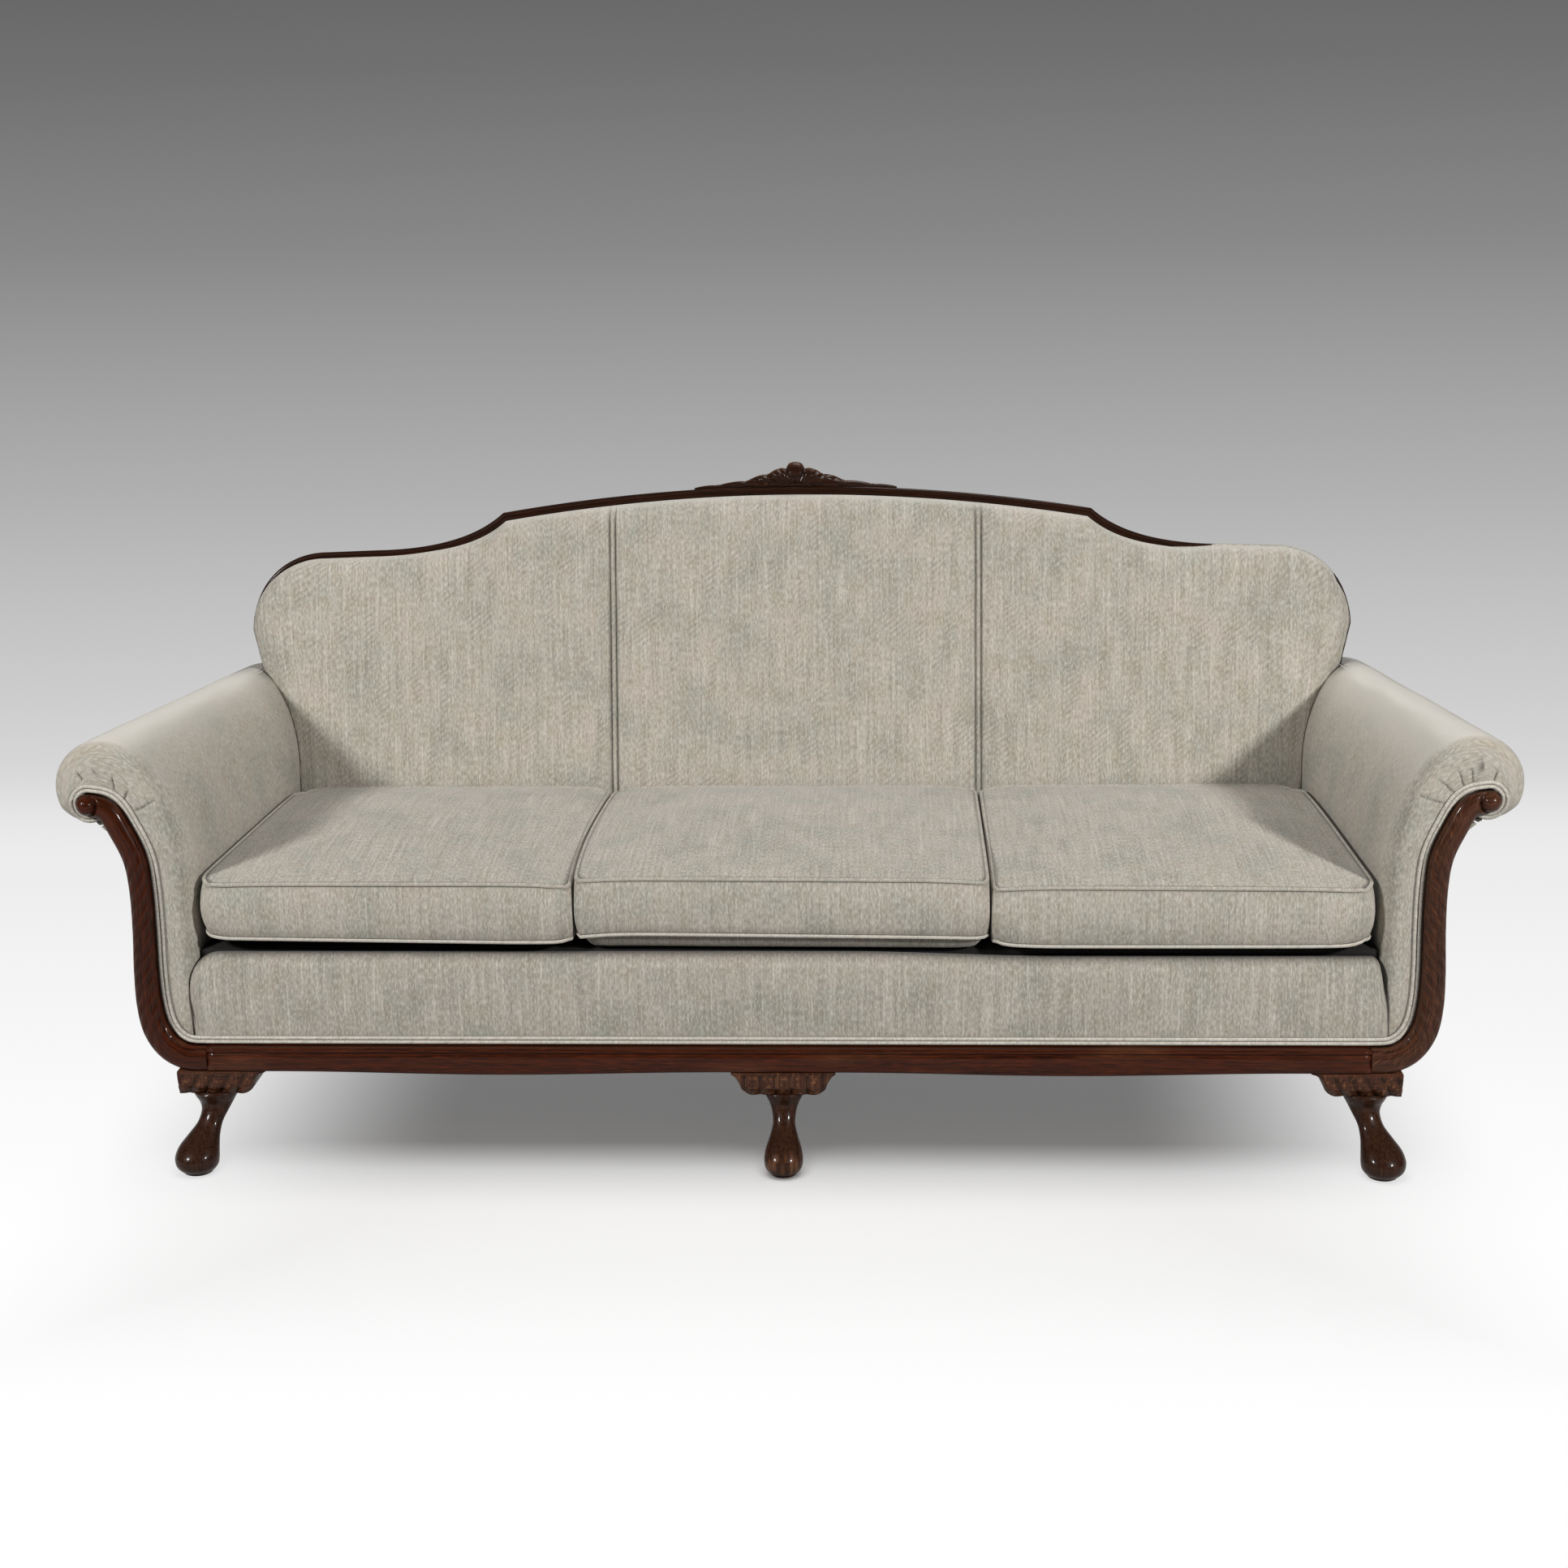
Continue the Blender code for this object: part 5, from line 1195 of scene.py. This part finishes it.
# Moulded apron with a waved lower edge and a bead under its top. Profiles are (behind the front, from the top
# or the lower edge)
apron = {
    "half": 0.8397, "low": 0.1473, "top": 0.1835, "front": 0.022, "rear": 0.025, "wave": 0.0045,
    "legX": 0.838, "bay": (0.10, 0.78), "steps": 160,
    "bead": ((0.004, 0.0), (0.0014, 0.0008), (0.0002, 0.0024), (0.0, 0.0042), (0.0006, 0.0058),
             (0.0028, 0.0070), (0.0030, 0.0078), (0.0012, 0.0090), (0.0004, 0.0110), (0.0, 0.015)),
    "round": ((0.0, 0.008), (0.0006, 0.0036), (0.0022, 0.0010), (0.005, 0.0)),
}
rings = []
for k in range(apron["steps"] + 1):
    x = mixed(-apron["half"], apron["half"], k / apron["steps"])
    bay = min(max((abs(x) / apron["legX"] - apron["bay"][0]) / apron["bay"][1], 0.0), 1.0)
    low = apron["low"] - apron["wave"] * math.sin(math.pi * bay) ** 2
    out = frontY - apron["front"]
    ring = [(frontY + apron["rear"], low), (frontY + apron["rear"], apron["top"])]
    ring += [(out + y, apron["top"] - z) for y, z in apron["bead"]]
    ring += [(out + y, low + z) for y, z in apron["round"]]
    rubs = [0.2 * eased(0.1, 0.6, noise.noise(Vector((x * 7, z * 60, 4.0)))) for _, z in ring]
    rings.append([(x, y, z, rub) for (y, z), rub in zip(ring, rubs)])
makePiece("moulded_apron", skin(rings), carvedMahogany, stands=("front_apron",))

# Carved leg blocks with upright gadroons and ogee wings, and club feet below them. Stations of a foot are its
# height as a share, the shares of its way out and forward, and its radius
leg = {
    "top": 0.1470, "low": 0.1110, "front": 0.020, "depth": 0.080, "flute": 0.0225, "fluteDeep": 0.0040,
    "slant": 0.55, "undercut": (0.007, 0.38), "plain": (0.80, 0.92), "steps": 96, "rows": 12,
    "wing": (0.044, 0.063, 0.0705, 0.0810), "wingRise": 0.016, "wingTop": (0.008, 0.0008),
    "middleEnds": (-0.0755, 0.0755), "outerEnds": (-0.048, 0.0820),
    "out": 0.021, "forward": 0.040, "rear": 0.010, "middle": 0.88, "around": 40,
    "stations": ((1.0, 0.0, 0.0, 0.034), (0.93, 0.0, 0.002, 0.0305), (0.84, 0.0, 0.010, 0.0250),
                 (0.74, 0.05, 0.16, 0.0202), (0.60, 0.32, 0.40, 0.0184), (0.46, 0.66, 0.66, 0.0235),
                 (0.35, 0.88, 0.86, 0.0290), (0.26, 0.97, 0.97, 0.03152), (0.19, 1.0, 1.0, 0.032),
                 (0.11, 1.0, 1.0, 0.0304)),
    "sole": (0.0056, 0.99, 0.99, 0.0256),
    "pad": [(0.0048, 0.98, 0.98, 0.0224), (0.0040, 0.98, 0.98, 0.02112), (0.0008, 0.98, 0.98, 0.02112),
            (0.0, 0.98, 0.98, 0.01984)],
}


def blockLow(reach):  # the lower edge of a wing, from the middle of its block outwards
    round0, round1, step, end = leg["wing"]
    shelf = leg["low"] + leg["wingRise"]
    upper = leg["top"] - leg["wingTop"][0]
    if reach < round0:
        return leg["low"]
    if reach < round1:
        t = (reach - round0) / (round1 - round0)
        return mixed(shelf, leg["low"], math.sqrt(max(0.0, 1 - t * t)))
    if reach < step:
        return mixed(shelf, upper, (reach - round1) / (step - round1))
    return mixed(upper, leg["top"] - leg["wingTop"][1], min((reach - step) / (end - step), 1.0))


def makeBlock(side, word):
    out = frontY - leg["front"]
    rings = []
    for k in range(leg["steps"] + 1):
        reach = mixed(*leg["outerEnds" if side else "middleEnds"], k / leg["steps"])
        low = leg["low"] if side and reach < 0 else blockLow(abs(reach))  # an outer block is square outside
        ring = [(out + leg["depth"], low, 0.0), (out + leg["depth"], leg["top"], 0.0)]
        for j in range(leg["rows"] + 1):
            t = 1 - j / leg["rows"]
            z = mixed(low, leg["top"], t)
            undercut = leg["undercut"][0] * (1 - eased(0.0, leg["undercut"][1], t))
            lean = leg["slant"] * (z - leg["low"]) if side else 0.0
            bead = abs(math.cos(math.pi * (reach - lean) / leg["flute"]))
            carved = 1 - eased(*leg["plain"], t)
            rub = 0.9 * eased(0.15, 0.40, noise.noise(Vector((reach * 210, z * 170, 3.0 + side))))
            shade = (rub * eased(0.5, 0.9, bead) - 0.6 * (1 - eased(0.10, 0.45, bead))) * carved
            ring.append((out + undercut + leg["fluteDeep"] * (1 - bead ** 0.7) * carved, z, shade))
        x = side * apron["legX"] + (-side or 1) * reach
        rings.append([(x,) + spot for spot in ring])
    makePiece("gadrooned_block_" + word, skin(rings), blockMahogany,
              stands=("leg_block_" + word,))


def makeFoot(side, word):
    top = leg["low"] - sofa["gap"]
    stations = [(top * share, out, forward, radius) for share, out, forward, radius in leg["stations"]]
    rings = []
    for z, out, forward, radius in smoothPath(stations + [leg["sole"]], 5) + leg["pad"]:
        radius *= 1.0 if side else leg["middle"]
        x = side * (apron["legX"] + leg["out"] * out)
        y = frontY - leg["forward"] * forward + leg["rear"] * (1 - forward)
        ring = []
        for k in range(leg["around"]):
            angle = 2 * math.pi * k / leg["around"]
            rub = 0.0
            if not side:  # the middle foot is scuffed
                rub = noise.noise(Vector((math.cos(angle) * 4, math.sin(angle) * 4, z * 30)))
                rub = 0.9 * eased(-0.05, 0.30, rub) * (1 - eased(0.026, 0.044, z))
            ring.append((x + radius * math.cos(angle), y + radius * math.sin(angle), z, rub))
        rings.append(ring)
    makePiece("club_foot_" + word, skin(rings), legMahogany, stands=("front_leg_" + word,))


for side, word in ((-1, "left"), (0, "middle"), (1, "right")):
    makeBlock(side, word)
    makeFoot(side, word)
print("legs done")

# Covered outside of the arms and of the back: cloth stretched over the frame and tacked under the edges
outside = {
    "curve": ((0.0402, 0.1479), (0.0254, 0.1715), (0.0125, 0.1885), (0.004, 0.215), (0.0, 0.250)),
    "out": (0.932, 0.9115), "post": 0.8945, "besidePost": (0.140, 0.235), "flare": (0.150, 0.085, 0.0553),
    "underRoll": 0.003, "start": frontY + 0.0008, "thick": 0.0012, "backHalf": 0.9052,
    "backCells": 90, "backRows": 30, "backOut": 0.004, "underMould": 0.0006,
}


def coverLine(y):  # from under the side rail up to the roll of the arm, as (x, z)
    edge = taper(*outside["out"], y)
    x, z, _, _ = rollAt(y)
    x += outside["underRoll"]
    low, knee, top = [z - drop for drop in outside["flare"]]
    post = eased(*outside["besidePost"], y)  # beside the back post the cloth goes straight down
    curve = [(edge - mixed(a, min(a, edge - outside["post"]), post), b) for a, b in outside["curve"]]
    line = smoothPath(curve, 4)
    for k in range(1, 8):
        line.append((edge, mixed(curve[-1][1], low, k / 8)))
    for k in range(13):
        t = k / 12
        line.append((mixed(edge, mixed(edge, x, t), t), mixed(mixed(low, knee, t), mixed(knee, top, t), t)))
    return line


start = outside["start"]
sideLine = coverLine((start + upY) / 2)
for side, word in sides:
    rings = []
    for k in range(30):
        y = mixed(start, upY, k / 30)
        rings.append([(side * x, y, z) for x, z in coverLine(y)])
    rings.append(leaningLoop(coverLine, rearFace, side))
    bm = openSkin(rings, (side * 0.5, 0.0, 0.4))
    piece = makePiece("outside_arm_cloth_" + word, bm, upholsteryCloth,
                      stands=("outside_arm_" + word,))
    thicken(piece, outside["thick"])

columns = []
low = upSlope(sofa["frameLow"]) + sofa["backThick"] * math.tan(rake)
cells = outside["backCells"]
rows = outside["backRows"]
for k in range(cells + 1):
    x = mixed(-outside["backHalf"], outside["backHalf"], k / cells)
    top = padTop(min(abs(x), padEnd - 0.0004)) - outside["underMould"]
    behind = sofa["backThick"] + outside["backOut"]
    columns.append([raked(x, mixed(low, top, j / rows), behind) for j in range(rows + 1)])
bm = openSkin(columns, (0.0, 0.0, 0.5))
piece = makePiece("outside_back_cloth", bm, upholsteryCloth, stands=("outside_back",))
thicken(piece, outside["thick"])
print("outside covers done")

# Padded seat deck under the cushions, near black as painted shade for the gap below them, and the dust cloth
# under the frame
deck = {"inset": 0.0006, "round": 0.006, "cells": (60, 40)}
low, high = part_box("seat_deck")
across, along = deck["cells"]
rings = []
for k in range(across + 1):
    t = k / across
    ring = []
    for j in range(along + 1):
        v = j / along
        y = mixed(low.y, high.y, v)
        edge = min(min(v, 1 - v) * 14, min(t, 1 - t) * 40, 1.0)
        drop = deck["round"] * (1 - math.sqrt(edge * (2 - edge)))
        ring.append((mixed(-1, 1, t) * (seatHalf(y) - deck["inset"]), y, high.z - drop))
    ring += [(mixed(-1, 1, t) * (seatHalf(y) - deck["inset"]), y, low.z) for y in (high.y, low.y)]
    rings.append(ring)
piece = makePiece("padded_seat_deck", skin(rings), gapShadeLining, stands=("seat_deck",))

dust = {"over": 0.038, "sag": 0.004, "lift": 0.001, "thick": 0.0008, "cells": (40, 24)}
low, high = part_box("dust_cover")
across, along = dust["cells"]
rings = []
for k in range(across + 1):
    ring = []
    for j in range(along + 1):
        y = mixed(low.y, high.y, j / along)
        sag = dust["sag"] * math.sin(math.pi * k / across) * math.sin(math.pi * j / along)
        ring.append((mixed(-1, 1, k / across) * (seatHalf(y) + dust["over"]), y, low.z + dust["lift"] - sag))
    rings.append(ring)
bm = openSkin(rings, (0.0, 0.0, 0.3))
piece = makePiece("cambric_dust_cloth", bm, cambric("black_cambric"), stands=("dust_cover",))
thicken(piece, dust["thick"])
print("deck and dust cloth done")

# Finishes of the CAD nodes that stay
finishes = {
    ("front_seat", "rear_seat", "back_t", "cross"): beech("planed_beech_along_x", "x"),
    ("side_seat", "arm_t"): beech("planed_beech_along_y", "y"),
    ("back_post", "back_up", "arm_stump", "front_corner", "rear_corner"): beech("planed_beech_along_z", "z"),
    ("seat_spring",): drawnWire("drawn_spring_wire"),
    ("rear_leg",): mahogany("polished_mahogany_rear", "z"),
}
for name, node in nodes.items():
    for starts, finish in finishes.items():
        if name.startswith(starts):
            node.data.materials.clear()
            node.data.materials.append(finish)
print("CAD nodes finished")

# Pale seamless sweep: white in front, grey behind, as the camera sees it
sweep = {
    "wide": 9.0, "front": -6.0, "turn": 0.9, "radius": 1.4, "high": 7.0, "steps": 16,
    "plain": "e6e6e6", "floor": 1.75, "lift": 0.15, "white": (1.0, 0.85), "wallHigh": 2.0,
    "wall": ((0.0, "e2e2e2"), (0.129, "cdcdcd"), (0.333, "b1b1b1"), (0.627, "888888"), (0.833, "717171"),
             (1.0, "616161")),
}
spots = [(sweep["front"], 0.0), (sweep["turn"], 0.0)]
for k in range(1, sweep["steps"] + 1):
    angle = math.pi / 2 * k / sweep["steps"]
    spots.append((sweep["turn"] + sweep["radius"] * math.sin(angle), sweep["radius"] * (1 - math.cos(angle))))
spots.append((sweep["turn"] + sweep["radius"], sweep["high"]))
bm = bmesh.new()
row = [bm.verts.new((-sweep["wide"], y, z)) for y, z in spots]
edges = [bm.edges.new(pair) for pair in zip(row, row[1:])]
grown = [g for g in bmesh.ops.extrude_edge_only(bm, edges=edges)["geom"] if isinstance(g, bmesh.types.BMVert)]
bmesh.ops.translate(bm, verts=grown, vec=(2 * sweep["wide"], 0, 0))
bmesh.ops.recalc_face_normals(bm, faces=bm.faces[:])
if sum(face.normal.z for face in bm.faces) < 0:
    bmesh.ops.reverse_faces(bm, faces=bm.faces[:])
paper, tree, shader = newMaterial("sweep_paper")
tree.nodes.remove(shader)
split = addNode(tree, "SeparateXYZ", {0: addNode(tree, "TexCoord").outputs["Object"]}).outputs
sideways = addNode(tree, "Math", {0: split["X"]}, operation="ABSOLUTE").outputs["Value"]
ranges = {
    "rise": (split["Z"], 0.0, sweep["wallHigh"], "LINEAR"), "deep": (split["Y"], -0.6, 1.1, "LINEAR"),
    "beside": (sideways, 0.50, 1.10, "SMOOTHSTEP"), "before": (split["Y"], -0.45, -1.10, "SMOOTHSTEP"),
    "climb": (split["Z"], 0.0, 0.16, "SMOOTHSTEP"),
}
shares = {}
for key, (value, start, end, kind) in ranges.items():
    limits = {"Value": value, "From Min": start, "From Max": end}
    shares[key] = addNode(tree, "MapRange", limits, interpolation_type=kind).outputs["Result"]
wallTone = addNode(tree, "ValToRGB", {0: shares["rise"]})
stops = wallTone.color_ramp.elements
stops[0].color = hexLinear(sweep["wall"][0][1])
stops[1].color = hexLinear(sweep["wall"][-1][1])
for spot, tone in sweep["wall"][1:-1]:
    stops.new(spot).color = hexLinear(tone)
near, far = [(grey, grey, grey, 1.0) for grey in sweep["white"]]
whiteTone = addNode(tree, "Mix", {0: shares["deep"], 6: near, 7: far}, data_type="RGBA")
glow = addNode(tree, "Emission", {"Color": wallTone.outputs["Color"]}).outputs[0]
white = addNode(tree, "Emission", {"Color": whiteTone.outputs[2]}).outputs[0]
floorCloth = addNode(tree, "BsdfDiffuse", {"Color": (sweep["floor"], sweep["floor"], sweep["floor"], 1.0)})
lift = addNode(tree, "Emission", {"Strength": sweep["lift"]})
shaded = addNode(tree, "AddShader", {0: floorCloth.outputs[0], 1: lift.outputs[0]}).outputs[0]
clear = addNode(tree, "Math", {0: shares["beside"], 1: shares["before"]}, operation="MAXIMUM")
rays = addNode(tree, "LightPath").outputs
shown = addNode(tree, "Math", {0: rays["Is Camera Ray"], 1: rays["Is Glossy Ray"]}, operation="MAXIMUM")
plain = addNode(tree, "BsdfDiffuse", {"Color": hexLinear(sweep["plain"])}).outputs[0]
behind = addNode(tree, "NewGeometry").outputs["Backfacing"]  # from behind, the sweep hides nothing
through = addNode(tree, "BsdfTransparent").outputs[0]
look = addNode(tree, "MixShader", {0: clear.outputs["Value"], 1: shaded, 2: white}).outputs[0]
look = addNode(tree, "MixShader", {0: shares["climb"], 1: look, 2: glow}).outputs[0]
look = addNode(tree, "MixShader", {0: shown.outputs["Value"], 1: plain, 2: look}).outputs[0]
look = addNode(tree, "MixShader", {0: behind, 1: look, 2: through}).outputs[0]
tree.links.new(look, tree.nodes["Material Output"].inputs["Surface"])
floor = makeObject("paper_sweep", bm)
floor.data.shade_smooth()
floor.data.materials.append(paper)

# Studio light: two lamps in front of the sofa to the right and left, one above and behind it, a soft one for
# the floor. The sweep takes only the soft lamp, and that lamp only the sweep
lamps = {
    "key": ((3.2, -3.1, 2.4), (0.0, 0.1, 0.45), 0.35, 172.0),
    "fill": ((-3.3, -2.8, 2.6), (0.0, 0.0, 0.45), 0.60, 155.0),
    "rear": ((0.4, 1.3, 3.3), (0.0, 0.0, 0.50), 1.20, 28.0),
    "overhead": ((0.0, -0.7, 2.8), (0.0, -0.3, 0.00), 2.60, 33.0),
}
for name, (spot, aim, size, power) in lamps.items():
    light = bpy.data.lights.new(name, "AREA")
    light.size = size
    light.energy = power
    lamp = bpy.data.objects.new(name, light)
    lamp.location = spot
    lamp.rotation_euler = (Vector(aim) - Vector(spot)).to_track_quat("-Z", "Y").to_euler()
    scene.collection.objects.link(lamp)
    taking = bpy.data.collections.new(name + " on the floor")
    taking.objects.link(floor)
    lamp.light_linking.receiver_collection = taking
    taking.collection_objects[0].light_linking.link_state = "INCLUDE" if name == "overhead" else "EXCLUDE"
world = bpy.data.worlds.new("studio")
world.use_nodes = True
world.node_tree.nodes["Background"].inputs["Color"].default_value = hexLinear("ffffff")
world.node_tree.nodes["Background"].inputs["Strength"].default_value = 0.06
scene.world = world

# Camera at the photograph's place
view = {
    "place": (0.1584, -3.5637, 1.3889), "yaw": -0.047, "pitch": 0.2475, "roll": -0.0146, "lens": 54.385,
    "film": 36.0,
}
level = math.cos(view["pitch"])
ahead = Vector((math.sin(view["yaw"]) * level, math.cos(view["yaw"]) * level, -math.sin(view["pitch"])))
right = Vector((math.cos(view["yaw"]), -math.sin(view["yaw"]), 0.0))
top = right.cross(ahead)
turnedRight = right * math.cos(view["roll"]) + top * math.sin(view["roll"])
turnedUp = top * math.cos(view["roll"]) - right * math.sin(view["roll"])
camera = bpy.data.objects.new("camera", bpy.data.cameras.new("camera"))
camera.data.lens = view["lens"]
camera.data.sensor_width = view["film"]
turn = Matrix((turnedRight, turnedUp, -ahead)).transposed().to_4x4()
camera.matrix_world = Matrix.Translation(view["place"]) @ turn
scene.collection.objects.link(camera)
scene.camera = camera
